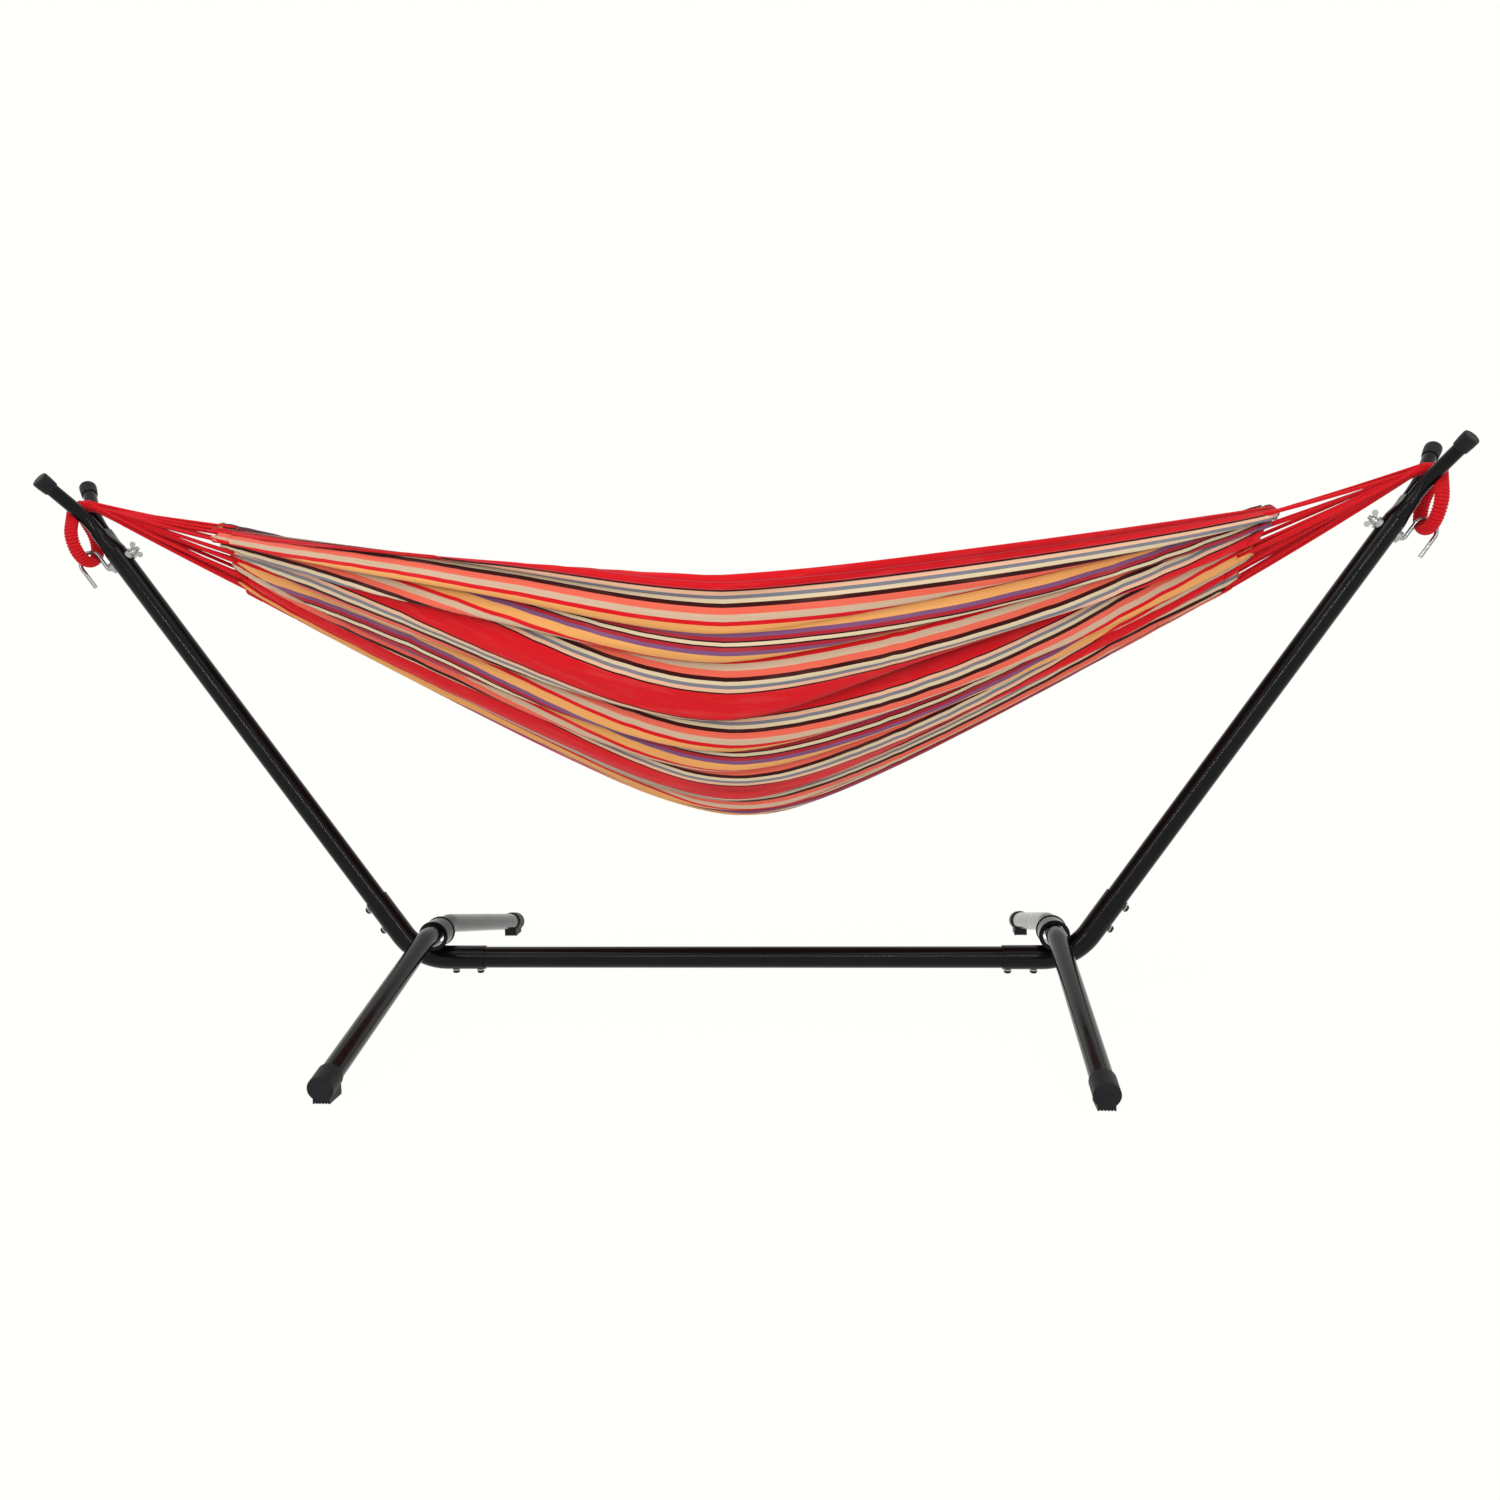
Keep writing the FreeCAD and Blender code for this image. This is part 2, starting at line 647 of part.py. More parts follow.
def make_foot(name, seat, y_side):
    """A rubber cap on the leg's end, with a level ribbed pad moulded under it."""
    body = doc.addObject("PartDesign::Body", f"{name}_shell")
    outline = flat_sketch(body, f"{name}_outline", "XZ_Plane")
    radius, mouth = "dims.foot_cap_od / 2", "dims.cap_end - dims.foot_cap_length"
    profile_of(outline, (
        ("0", mouth), (f"{radius} - 1.2", mouth), (radius, f"{mouth} + 1.2"),
        (radius, "dims.cap_end - 1.5"),
        (f"{radius} - 0.5", "dims.cap_end - 0.4"), (f"{radius} - 1.6", "dims.cap_end"),
        ("0", "dims.cap_end"),
    ))
    spin = body.newObject("PartDesign::Revolution", f"{name}_spin")
    spin.Profile = outline
    spin.ReferenceAxis = (outline, ["V_Axis"])
    spin.Angle = 360
    body.Placement = seat

    pad_box = doc.addObject("Part::Box", f"{name}_pad")
    bind(pad_box, Length="dims.foot_pad_width", Width="dims.foot_pad_length", Height="dims.foot_pad_height")
    length, width = size("foot_pad_length"), size("foot_pad_width")
    low_y = seat.Base.y if y_side > 0 else seat.Base.y + length
    pad_box.Placement = Placement(Vector(-width / 2, low_y - length, 0), Rotation())

    tools = [cylinder(f"{name}_socket", "dims.leg_od / 2", "2 * dims.foot_cap_length", seat.Base,
                      seat.Rotation.multVec(Vector(0, 0, -1)))]
    pitch, depth = size("foot_tooth_pitch"), size("foot_tooth_depth")
    for index in range(-2, 3):
        groove = doc.addObject("Part::Box", f"{name}_groove_{index + 2}")
        bind(groove, Length="dims.foot_tooth_depth * sqrt(2)", Height="dims.foot_tooth_depth * sqrt(2)",
             Width="2 * dims.foot_pad_length")
        corner = Vector(index * pitch - depth, low_y - 1.5 * length, 0)
        groove.Placement = Placement(corner, Rotation(Vector(0, 1, 0), 45))
        tools.append(groove)
    block = fuse(f"{name}_block", [body, pad_box])
    return cut(f"{name}_rubber", block, group(f"{name}_tools", tools))


# ---------------------------------------------------------------- bolts of the sleeves

def make_bolts(end):
    """Hexagon bolts with washers outside, and the press nuts they turn into inside."""
    name = end_name(end)
    surface = size("sleeve_od") / 2
    bolts, washers, nuts = [], [], []
    for index, (point, way) in enumerate(bolt_stations()):
        turn = Rotation(Vector(0, 0, 1), way)
        tag = f"{name}_{index}"
        seat = point + way * surface
        head_seat = seat + way * size("washer_thickness")

        head = doc.addObject("Part::Prism", f"bolt_head_{tag}")
        head.Polygon = 6
        bind(head, Circumradius="dims.bolt_head_af / sqrt(3)", Height="dims.bolt_head_height")
        head.Placement = Placement(head_seat, turn)
        dome = doc.addObject("Part::Cone", f"bolt_dome_{tag}")
        bind(dome, Radius1="dims.bolt_head_af / sqrt(3) + 1.1", Radius2="dims.bolt_head_af / 2 - 0.9",
             Height="dims.bolt_head_height")
        dome.Placement = Placement(head_seat, turn)
        rounded = doc.addObject("Part::MultiCommon", f"bolt_hexagon_{tag}")
        rounded.Shapes = [head, dome]
        shank = cylinder(f"bolt_shank_{tag}", "dims.bolt_od / 2",
                         "dims.sleeve_od / 2 + dims.washer_thickness - dims.bolt_short", head_seat, way * -1)
        bolts.append(fuse(f"bolt_{tag}", [rounded, shank]))

        disc = cylinder(f"washer_disc_{tag}", "dims.washer_od / 2", "dims.washer_thickness", seat, way)
        hole = cylinder(f"washer_hole_{tag}", "dims.washer_bore / 2", "dims.washer_thickness", seat, way)
        washers.append(cut(f"washer_{tag}", disc, hole))

        inside = point + way * (size("press_nut_seat") - size("press_nut_height"))
        block = cylinder(f"nut_block_{tag}", "dims.press_nut_od / 2", "dims.press_nut_height", inside, way)
        thread = cylinder(f"nut_thread_{tag}", "dims.press_nut_bore / 2", "dims.press_nut_height",
                          inside, way)
        nuts.append(cut(f"nut_{tag}", block, thread))
    for label, members in (("sleeve_bolts", bolts), ("bolt_washers", washers), ("press_nuts", nuts)):
        batch = group(f"{name}_{label}_group", members)
        batch.Placement = turned(end)
        keep(batch, f"{name}_{label}")


# ---------------------------------------------------------------- hooks and wing nuts

def make_hook(end):
    """A bent rod through the arm: a threaded end inside, an open hook outside."""
    name = end_name(end)
    turn = 90 + size("hook_lean")
    corner = size("hook_first_bend") * math.tan(math.radians(turn / 2))
    corner_words = "dims.hook_first_bend * tan((90 + dims.hook_lean) * 1 deg / 2)"
    station = size("hook_station")
    route = Route(f"{name}_hook_route", XZ, (-size("hook_thread_end"), station), 0)
    route.run(size("hook_thread_end") + size("hook_reach") - corner,
              f"dims.hook_thread_end + dims.hook_reach - {corner_words}")
    route.turn(size("hook_first_bend"), "dims.hook_first_bend", turn)
    route.run(size("hook_leg"), "dims.hook_leg")
    route.turn(size("hook_crown_radius"), "dims.hook_crown_radius", -(90 + turn))
    route.run(size("hook_tail"), "dims.hook_tail")
    hook = route.solid(f"{name}_hook", "dims.hook_rod / 2")
    hook.Placement = turned(end, arm_place())
    keep(hook, f"{name}_hook")


def make_saddles(end):
    """The two saddle washers that seat the rod on the round arm."""
    name = end_name(end)
    station = size("hook_station")
    arm_bar = cylinder(f"{name}_saddle_arm", "dims.tube_od / 2", "2 * dims.tube_od",
                       Vector(0, 0, station - size("tube_od")), Vector(0, 0, 1))
    rod = cylinder(f"{name}_saddle_rod", "dims.hook_bore / 2", "4 * dims.saddle_face",
                   Vector(-2 * size("saddle_face"), 0, station), Vector(1, 0, 0))
    discs = []
    for side in (-1, 1):
        face = Vector(side * size("saddle_face"), 0, station)
        discs.append(cylinder(f"{name}_saddle_disc_{side + 1}", "dims.saddle_od / 2",
                              "dims.saddle_face / 2", face, Vector(-side, 0, 0)))
    pair = cut(f"{name}_saddles", group(f"{name}_saddle_discs", discs),
               group(f"{name}_saddle_tools", [arm_bar, rod]))
    pair.Placement = turned(end, arm_place())
    keep(pair, f"{name}_saddle_washers")


def make_wing_nut(end):
    """A wing nut on the rod's threaded end; its axis is the rod's."""
    name = end_name(end)
    base = Vector(-size("saddle_face") - size("wing_gap"), 0, size("hook_station"))
    inward = Vector(-1, 0, 0)
    hub = doc.addObject("Part::Cone", f"{name}_wing_hub")
    bind(hub, Radius1="dims.wing_hub_od / 2", Radius2="dims.wing_hub_od / 2 - 2", Height="dims.wing_height")
    hub.Placement = Placement(base, Rotation(Vector(0, 0, 1), inward))
    members = [hub]
    thick = size("wing_thickness")
    for side in (-1, 1):
        lobe = Vector(-size("wing_height"), 0, side * size("wing_reach"))
        centre = base + lobe
        members.append(cylinder(f"{name}_wing_lobe_{side + 1}", "dims.wing_lobe", "dims.wing_thickness",
                                centre - Vector(0, thick / 2, 0), Vector(0, 1, 0)))
        root = doc.addObject("Part::Box", f"{name}_wing_root_{side + 1}")
        bind(root, Length="1.6 * dims.wing_lobe", Width="dims.wing_thickness", Height="dims.wing_reach")
        lean = -side * size("wing_lean")
        stand = Rotation(Vector(0, 1, 0), lean) if side > 0 else Rotation(Vector(0, 1, 0), 180 + lean)
        reach = stand.multVec(Vector(0.8 * size("wing_lobe"), thick / 2, size("wing_reach")))
        root.Placement = Placement(centre - reach, stand)
        members.append(root)
    whole = fuse(f"{name}_wing_whole", members)
    bore = cylinder(f"{name}_wing_bore", "dims.hook_bore / 2", "4 * dims.wing_height",
                    base + Vector(size("wing_height"), 0, 0), inward)
    nut = cut(f"{name}_wing_nut_solid", whole, bore)
    nut.Placement = turned(end, arm_place())
    keep(nut, f"{name}_wing_nut")


# ---------------------------------------------------------------- end loops and clews

def make_end_loop(end):
    """The wound cord eye: a short neck over the fork, and a drop-shaped loop below it."""
    name = end_name(end)
    top = Vector(size("loop_top_x"), 0, size("loop_top_z"))
    bottom = Vector(size("loop_bottom_x"), 0, size("loop_bottom_z"))
    height = (top - bottom).Length
    low, high = size("loop_bottom_radius"), size("loop_top_radius")
    span = height - low - high
    lean = math.degrees(math.asin((low - high) / span))
    side = span * math.cos(math.radians(lean))
    route = Route(f"{name}_loop_route", YZ, (0, 0), 0)
    route.turn(low, "dims.loop_bottom_radius", 90 + lean)
    route.run(side, str(side))
    route.turn(high, "dims.loop_top_radius", 180 - 2 * lean)
    route.run(side, str(side))
    route.turn(low, "dims.loop_bottom_radius", 90 + lean)
    eye = route.solid(f"{name}_loop_eye", "dims.loop_od / 2")
    tilt = math.degrees(math.atan2(top.x - bottom.x, top.z - bottom.z))
    eye.Placement = Placement(bottom, Rotation(Vector(0, 1, 0), tilt))
    neck = cylinder(f"{name}_loop_neck", "dims.neck_od / 2", "dims.loop_top_x - dims.crotch_x - dims.neck_gap",
                    Vector(size("crotch_x") + size("neck_gap"), 0, size("crotch_z")), Vector(1, 0, 0))
    loop = fuse(f"{name}_loop", [eye, neck])
    loop.Placement = turned(end)
    keep(loop, f"{name}_end_loop")


def make_clew(end):
    """The fan of cords between the cloth's gathered end and the fork, as one plain solid."""
    name = end_name(end)
    toward = Rotation(Vector(0, 0, 1), Vector(1, 0, 0))
    middle = (size("bed_end_rim_z") + size("bed_end_bottom_z")) / 2
    wide = doc.addObject("Part::Ellipse", f"{name}_clew_wide")
    bind(wide, MajorRadius="(dims.bed_end_rim_z - dims.bed_end_bottom_z) / 2 - 3",
         MinorRadius="dims.bed_end_half_width - 3")
    wide.Placement = Placement(Vector(size("bed_end_x") + 0.4, 0, middle), toward)
    narrow = doc.addObject("Part::Circle", f"{name}_clew_narrow")
    bind(narrow, Radius="dims.neck_od / 2")
    narrow.Placement = Placement(Vector(size("crotch_x"), 0, size("crotch_z")), toward)
    fan = doc.addObject("Part::Loft", f"{name}_clew_fan")
    fan.Sections = [wide, narrow]
    fan.Solid = True
    fan.Placement = turned(end)
    keep(fan, f"{name}_clew_cords")


# ---------------------------------------------------------------- the cloth

def bed_station(x):
    """Half width, rim height and bottom height of the hanging cloth at x."""
    share = abs(x) / size("bed_end_x")
    middle, gathered = size("bed_half_width"), size("bed_end_half_width")
    half_width = gathered + (middle - gathered) * (1 - share ** 2)
    rim = size("bed_rim_z") + (size("bed_end_rim_z") - size("bed_rim_z")) * share ** 1.3
    bend = 0.17
    slack = (math.hypot(share, bend) - bend) / (math.hypot(1, bend) - bend)
    bottom = size("bed_bottom_z") + (size("bed_end_bottom_z") - size("bed_bottom_z")) * slack
    return half_width, rim, bottom


def bed_section(x, steps=8):
    """The closed outline of the cloth's U at x: down the outside, up the inside."""
    half_width, rim, bottom = bed_station(x)
    cloth = size("bed_cloth")
    outside, inside = [], []
    for step in range(-steps, steps + 1):
        angle = math.radians(90 * step / steps)
        rise = 1 - math.cos(angle)
        outside.append(Vector(x, half_width * math.sin(angle), bottom + (rim - bottom) * rise))
        inner_width, inner_bottom = half_width - cloth, bottom + cloth
        inside.append(Vector(x, inner_width * math.sin(angle), inner_bottom + (rim - inner_bottom) * rise))
    points = outside + inside[::-1]
    return Part.makePolygon(points + points[:1])


def make_bed():
    """The cloth as one plain folded-up shell, lofted through its sections."""
    end = size("bed_end_x")
    shares = (-1, -0.84, -0.62, -0.4, -0.2, 0, 0.2, 0.4, 0.62, 0.84, 1)
    shell = Part.makeLoft([bed_section(end * share) for share in shares], True, True)
    bed = doc.addObject("Part::Feature", "hammock_bed")
    bed.Shape = shell
    keep(bed, "hammock_bed")


make_base_tube()
for end in (1, -1):
    make_sleeve(end)
    make_arm(end)
    for y_side in (-1, 1):
        make_horn(end, y_side)
        make_leg(end, y_side)
    make_bolts(end)
    make_hook(end)
    make_saddles(end)
    make_wing_nut(end)
    make_end_loop(end)
    make_clew(end)
make_bed()
doc.recompute()

failed = [thing.Name for thing in doc.Objects if {"Invalid", "Error"} & set(thing.State)]
if failed:
    raise RuntimeError(f"failed to build: {failed}")
os.makedirs("parts", exist_ok=True)
for piece in pieces:
    shape = piece.Shape
    if shape.isNull() or not shape.isValid():
        raise RuntimeError(f"bad shape: {piece.Label}")
    shape.exportStep(f"parts/{piece.Label}.step")
    box = shape.BoundBox
    print(f"{piece.Label}: {len(shape.Solids)} solids, {shape.Volume / 1000:.1f} cm3, "
          f"x {box.XMin:.1f} {box.XMax:.1f}, y {box.YMin:.1f} {box.YMax:.1f}, z {box.ZMin:.1f} {box.ZMax:.1f}")
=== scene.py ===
"""Looks of a striped cotton hammock on a free-standing black steel tube stand.

Metres, +Z up, +X along the hammock. The steel pieces stay as the frame has them and get their
finishes here; the cloth, its hems, the clew cords and the wound end loops are modelled here.
"""
import json
import math

import bpy
import numpy as np
from bpy.props import FloatProperty, FloatVectorProperty, IntProperty, PointerProperty
from mathutils import Matrix, Vector


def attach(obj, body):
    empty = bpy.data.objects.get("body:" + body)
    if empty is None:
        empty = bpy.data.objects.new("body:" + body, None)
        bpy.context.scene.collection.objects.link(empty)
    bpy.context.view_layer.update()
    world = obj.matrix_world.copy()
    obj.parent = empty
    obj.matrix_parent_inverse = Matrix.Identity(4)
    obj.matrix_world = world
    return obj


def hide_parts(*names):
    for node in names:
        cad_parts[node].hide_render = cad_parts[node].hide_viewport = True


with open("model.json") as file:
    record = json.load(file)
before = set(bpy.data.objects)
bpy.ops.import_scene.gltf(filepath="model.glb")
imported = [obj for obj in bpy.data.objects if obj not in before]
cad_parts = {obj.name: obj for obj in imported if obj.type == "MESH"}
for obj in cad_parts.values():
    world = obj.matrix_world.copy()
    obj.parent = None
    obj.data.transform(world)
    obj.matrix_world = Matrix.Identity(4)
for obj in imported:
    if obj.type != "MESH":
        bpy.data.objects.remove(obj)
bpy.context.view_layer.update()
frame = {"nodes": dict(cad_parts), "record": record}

bl_info = {
    "name": "Striped Hammock on Stand",
    "version": (1, 0, 0),
    "blender": (4, 5, 0),
    "location": "3D View > Sidebar > Hammock",
    "description": "Builds the cloth, cords and finishes of a hammock on its tube stand",
    "category": "Add Mesh",
}

ENDS = {"left": -1, "right": 1}
MM = 0.001
WIDE_RED_MM = 29.0      # half of a wide red band


def linear(red, green, blue):
    """Screen values from 0 to 255 as a linear colour."""
    channels = (red / 255, green / 255, blue / 255)
    return tuple(c / 12.92 if c <= 0.04045 else ((c + 0.055) / 1.055) ** 2.4 for c in channels)


def tint(name, values, description):
    """A colour setting."""
    return FloatVectorProperty(name=name, description=description, subtype="COLOR", size=3,
                               min=0, max=1, default=linear(*values))


def length(name, default, description):
    """A length setting in metres."""
    return FloatProperty(name=name, description=description, default=default, unit="LENGTH")


# ---------------------------------------------------------------- settings

class ClothSettings(bpy.types.PropertyGroup):
    """Sizes and yarn colours of the woven bed."""
    width: length("Width", 1.4816, "Width of the cloth, hem to hem, before it is gathered")
    thickness: length("Thickness", 0.0012, "Thickness of the woven cloth")
    hem: length("Hem", 0.027, "Width of the folded hem on each long edge")
    folds: IntProperty(name="Folds", description="Folds in one repeat of the stripes", default=3)
    across: IntProperty(name="Points across", description="Mesh points across the cloth",
                        default=361)
    along: IntProperty(name="Points along", description="Mesh points along the cloth",
                       default=121)
    red: tint("Red", (205, 16, 28), "Wide bands, hems and thin red stripes")
    orange: tint("Orange", (222, 158, 92), "Wide yellow-orange stripe")
    peach: tint("Peach", (222, 176, 146), "Peach cream stripe next to the red band")
    cream: tint("Cream", (208, 190, 158), "Pale cream stripes")
    beige: tint("Beige", (196, 168, 142), "Beige stripe")
    salmon: tint("Salmon", (222, 98, 78), "Salmon stripe")
    maroon: tint("Maroon", (52, 8, 8), "Dark maroon stripe")
    black: tint("Black", (28, 8, 10), "Thin black stripes")
    grey: tint("Grey", (116, 118, 128), "Blue-grey stripe")
    violet: tint("Violet", (118, 76, 116), "Violet stripe")
    crimson: tint("Crimson", (160, 34, 48), "Crimson stripe")


class CordSettings(bpy.types.PropertyGroup):
    """Sizes and colour of the clew cords and the wound end loops."""
    count: IntProperty(name="Clew cords", description="Cords at each end of the cloth", default=28)
    diameter: length("Cord diameter", 0.0066, "Diameter of one clew cord")
    winding: length("Winding pitch", 0.0062, "Distance between turns of the winding on a loop")
    loop_width: length("Loop width", 0.027, "Width of the wound loop's section across the stand")
    loop_depth: length("Loop depth", 0.020, "Depth of the wound loop's section in its own plane")
    red: tint("Cord red", (186, 6, 20), "Colour of the cords")


class StandSettings(bpy.types.PropertyGroup):
    """Finishes of the steel and rubber pieces."""
    black: tint("Tube black", (8, 8, 12), "Powder coat of the tubes")
    rubber: tint("Rubber black", (20, 21, 25), "Caps and feet")
    zinc: tint("Zinc", (168, 170, 170), "Plated washers and wing nuts")
    rod: tint("Rod", (158, 162, 164), "Plated hooks")
    oxide: tint("Oxide", (30, 30, 32), "Black bolts")


class StageSettings(bpy.types.PropertyGroup):
    """Floor, lights and camera."""
    floor: tint("Floor", (255, 255, 251), "Colour of the floor")
    focal: FloatProperty(name="Focal length", description="Camera lens", default=33.75)


# ---------------------------------------------------------------- node helpers

def new_material(name):
    """An empty material, its tree and its shader."""
    material = bpy.data.materials.new(name)
    material.use_nodes = True
    tree = material.node_tree
    shader = tree.nodes["Principled BSDF"]
    return material, tree, shader


def node(tree, kind, values=None, **settings):
    """A node with its settings, and its sockets' values or the links into them."""
    made = tree.nodes.new(kind)
    for key, value in settings.items():
        setattr(made, key, value)
    for key, value in (values or {}).items():
        if isinstance(value, bpy.types.NodeSocket):
            tree.links.new(value, made.inputs[key])
        else:
            made.inputs[key].default_value = value
    return made


def maths(tree, operation, first, second=0.0):
    """The result of a sum on one or two numbers or sockets."""
    return node(tree, "ShaderNodeMath", {0: first, 1: second}, operation=operation).outputs[0]


def mixed(tree, factor, first, second, blend="MIX"):
    """Colour mix: factor 0 is first, 1 is second."""
    made = node(tree, "ShaderNodeMix", data_type="RGBA", blend_type=blend)
    for index, value in ((0, factor), (6, first), (7, second)):
        if isinstance(value, bpy.types.NodeSocket):
            tree.links.new(value, made.inputs[index])
        else:
            made.inputs[index].default_value = (*value, 1) if index else value
    return made.outputs[2]


def ranged(tree, value, low, high, to_low, to_high):
    """A value carried from one range to another and held inside it."""
    made = node(tree, "ShaderNodeMapRange", {0: value, 1: low, 2: high, 3: to_low, 4: to_high})
    return made.outputs[0]


def effect(name, inputs, outputs):
    """An empty shader group with number sockets. Returns the group, its inputs and its output."""
    group = bpy.data.node_groups.new(name, "ShaderNodeTree")
    for socket, default in inputs.items():
        made = group.interface.new_socket(socket, in_out="INPUT", socket_type="NodeSocketFloat")
        made.default_value = default
    for socket in outputs:
        group.interface.new_socket(socket, in_out="OUTPUT", socket_type="NodeSocketFloat")
    given = group.nodes.new("NodeGroupInput")
    result = group.nodes.new("NodeGroupOutput")
    return group, given.outputs, result


def place_effect(tree, name, values=None):
    """A shared effect placed in a tree. Returns its outputs."""
    return node(tree, "ShaderNodeGroup", values, node_tree=bpy.data.node_groups[name]).outputs


def make_woven_group():
    """Plain weave: fine threads both ways, yarn streaks along the warp and slubs."""
    group, given, result = effect("woven_cotton", {"Along": 0.0, "Across": 0.0, "Thread": 0.0011},
                                  ("Height", "Streak", "Slub"))
    along = maths(group, "DIVIDE", given["Along"], given["Thread"])
    across = maths(group, "DIVIDE", given["Across"], given["Thread"])
    warp = maths(group, "SINE", maths(group, "MULTIPLY", across, math.tau))
    weft = maths(group, "SINE", maths(group, "MULTIPLY", along, math.tau * 0.62))
    height = maths(group, "ADD", maths(group, "MULTIPLY", warp, 0.3),
                   maths(group, "MULTIPLY", weft, 0.5))
    group.links.new(height, result.inputs["Height"])
    for output, stretch, scale in (("Streak", 0.35, 330.0), ("Slub", 2.2, 60.0)):
        drawn_out = maths(group, "MULTIPLY", given["Along"], stretch * 0.06)
        point = node(group, "ShaderNodeCombineXYZ", {0: drawn_out, 1: given["Across"]})
        noise = node(group, "ShaderNodeTexNoise", {"Vector": point.outputs[0], "Scale": scale,
                                                   "Detail": 3.0, "Roughness": 0.65})
        group.links.new(noise.outputs["Fac"], result.inputs[output])


def make_twist_group():
    """Strands laid round a cord: a slanted ridge pattern, a mask of painted shade in the grooves
    and fibre fuzz.
    """
    group, given, result = effect("laid_strands", {"Along": 0.0, "Around": 0.0, "Lay": 0.006,
                                                   "Strands": 3.0}, ("Height", "Groove shade", "Fuzz"))
    turn = maths(group, "DIVIDE", given["Along"], given["Lay"])
    phase = maths(group, "ADD", turn, maths(group, "MULTIPLY", given["Around"], given["Strands"]))
    wave = maths(group, "ABSOLUTE", maths(group, "SINE", maths(group, "MULTIPLY", phase, math.pi)))
    group.links.new(maths(group, "POWER", wave, 0.5), result.inputs["Height"])
    group.links.new(ranged(group, wave, 0.0, 0.45, 1.0, 0.0), result.inputs["Groove shade"])
    point = node(group, "ShaderNodeCombineXYZ",
                 {0: maths(group, "MULTIPLY", given["Along"], 300.0),
                  1: maths(group, "MULTIPLY", given["Around"], 14.0)})
    noise = node(group, "ShaderNodeTexNoise", {"Vector": point.outputs[0], "Scale": 1.4,
                                               "Detail": 4.0})
    group.links.new(noise.outputs["Fac"], result.inputs["Fuzz"])


def make_coat_group():
    """Sprayed coat: a faint ripple, soft dust and small rubs."""
    group, given, result = effect("sprayed_coat", {"Ripple scale": 260.0, "Dust scale": 22.0},
                                  ("Ripple", "Dust", "Rub"))
    where = node(group, "ShaderNodeTexCoord").outputs["Object"]
    ripple = node(group, "ShaderNodeTexNoise", {"Vector": where, "Scale": given["Ripple scale"],
                                                "Detail": 2.0})
    dust = node(group, "ShaderNodeTexNoise", {"Vector": where, "Scale": given["Dust scale"],
                                              "Detail": 6.0, "Roughness": 0.7})
    rub = node(group, "ShaderNodeTexNoise", {"Vector": where, "Scale": 95.0, "Detail": 5.0,
                                             "Roughness": 0.75})
    group.links.new(ripple.outputs["Fac"], result.inputs["Ripple"])
    group.links.new(ranged(group, dust.outputs["Fac"], 0.42, 0.78, 0.0, 1.0), result.inputs["Dust"])
    group.links.new(ranged(group, rub.outputs["Fac"], 0.62, 0.74, 0.0, 1.0), result.inputs["Rub"])


# ---------------------------------------------------------------- materials

def stripe_table(cloth):
    """The stripes from the middle of a cream one to the middle of a wide red one: width, colour."""
    return (
        (2.9, cloth.cream), (2.0, cloth.black), (6.4, cloth.crimson), (7.1, cloth.violet),
        (16.6, cloth.orange), (7.5, cloth.red), (11.2, cloth.beige), (11.2, cloth.salmon),
        (7.5, cloth.maroon), (6.8, cloth.cream), (6.1, cloth.grey), (6.8, cloth.peach),
        (2.7, cloth.black), (WIDE_RED_MM, cloth.red),
    )


def repeat_half(cloth):
    return sum(width for width, _ in stripe_table(cloth)) * MM


def cloth_material(cloth, name, stitched):
    """Striped woven cotton that reads its own UV map: metres along, metres across."""
    material, tree, shader = new_material(name)
    place = node(tree, "ShaderNodeUVMap", uv_map="cloth").outputs[0]
    split = node(tree, "ShaderNodeSeparateXYZ", {0: place})
    along, across = split.outputs[0], split.outputs[1]
    woven = place_effect(tree, "woven_cotton", {"Along": along, "Across": across})
    half = repeat_half(cloth)
    wander = ranged(tree, woven["Streak"], 0.0, 1.0, -0.00045, 0.00045)
    from_cream = maths(tree, "SUBTRACT", maths(tree, "ADD", across, wander),
                       cloth.hem + half - WIDE_RED_MM * MM)
    folded = maths(tree, "PINGPONG", from_cream, half)
    ramp = node(tree, "ShaderNodeValToRGB", {0: maths(tree, "DIVIDE", folded, half)})
    ramp.color_ramp.interpolation = "CONSTANT"
    stops = ramp.color_ramp.elements
    edge = 0.0
    for index, (width, colour) in enumerate(stripe_table(cloth)):
        stop = stops.new(edge / half) if index else stops[0]
        stop.color = (*colour, 1)
        edge += width * MM
    stops[-1].color = (*cloth.red, 1)
    streaked = mixed(tree, ranged(tree, woven["Streak"], 0.35, 0.7, 0.0, 0.3), ramp.outputs[0],
                     (0.7, 0.6, 0.55), "MULTIPLY")
    colour = mixed(tree, ranged(tree, woven["Slub"], 0.5, 0.75, 0.0, 0.07), streaked,
                   (0.8, 0.4, 0.35))
    # Painted shade: the stripes are darkened toward a dark brown in the fold valleys and wrinkle
    # dips.
    painted_shade = node(tree, "ShaderNodeAttribute", attribute_name="painted_crease_shade").outputs["Fac"]
    colour = mixed(tree, ranged(tree, painted_shade, 0.0, 0.9, 0.0, 0.88), colour,
                   (0.22, 0.13, 0.12), "MULTIPLY")
    height = woven["Height"]
    if stitched:
        colour, height = add_stitches(tree, cloth, along, across, colour, height)
    tree.links.new(colour, shader.inputs["Base Color"])
    tree.links.new(ranged(tree, woven["Slub"], 0.3, 0.7, 0.78, 0.92), shader.inputs["Roughness"])
    bump = node(tree, "ShaderNodeBump", {"Height": height, "Strength": 0.35, "Distance": 0.0004})
    tree.links.new(bump.outputs[0], shader.inputs["Normal"])
    shader.inputs["Sheen Weight"].default_value = 0.08
    shader.inputs["Sheen Roughness"].default_value = 0.5
    shader.inputs["Specular IOR Level"].default_value = 0.1
    return material


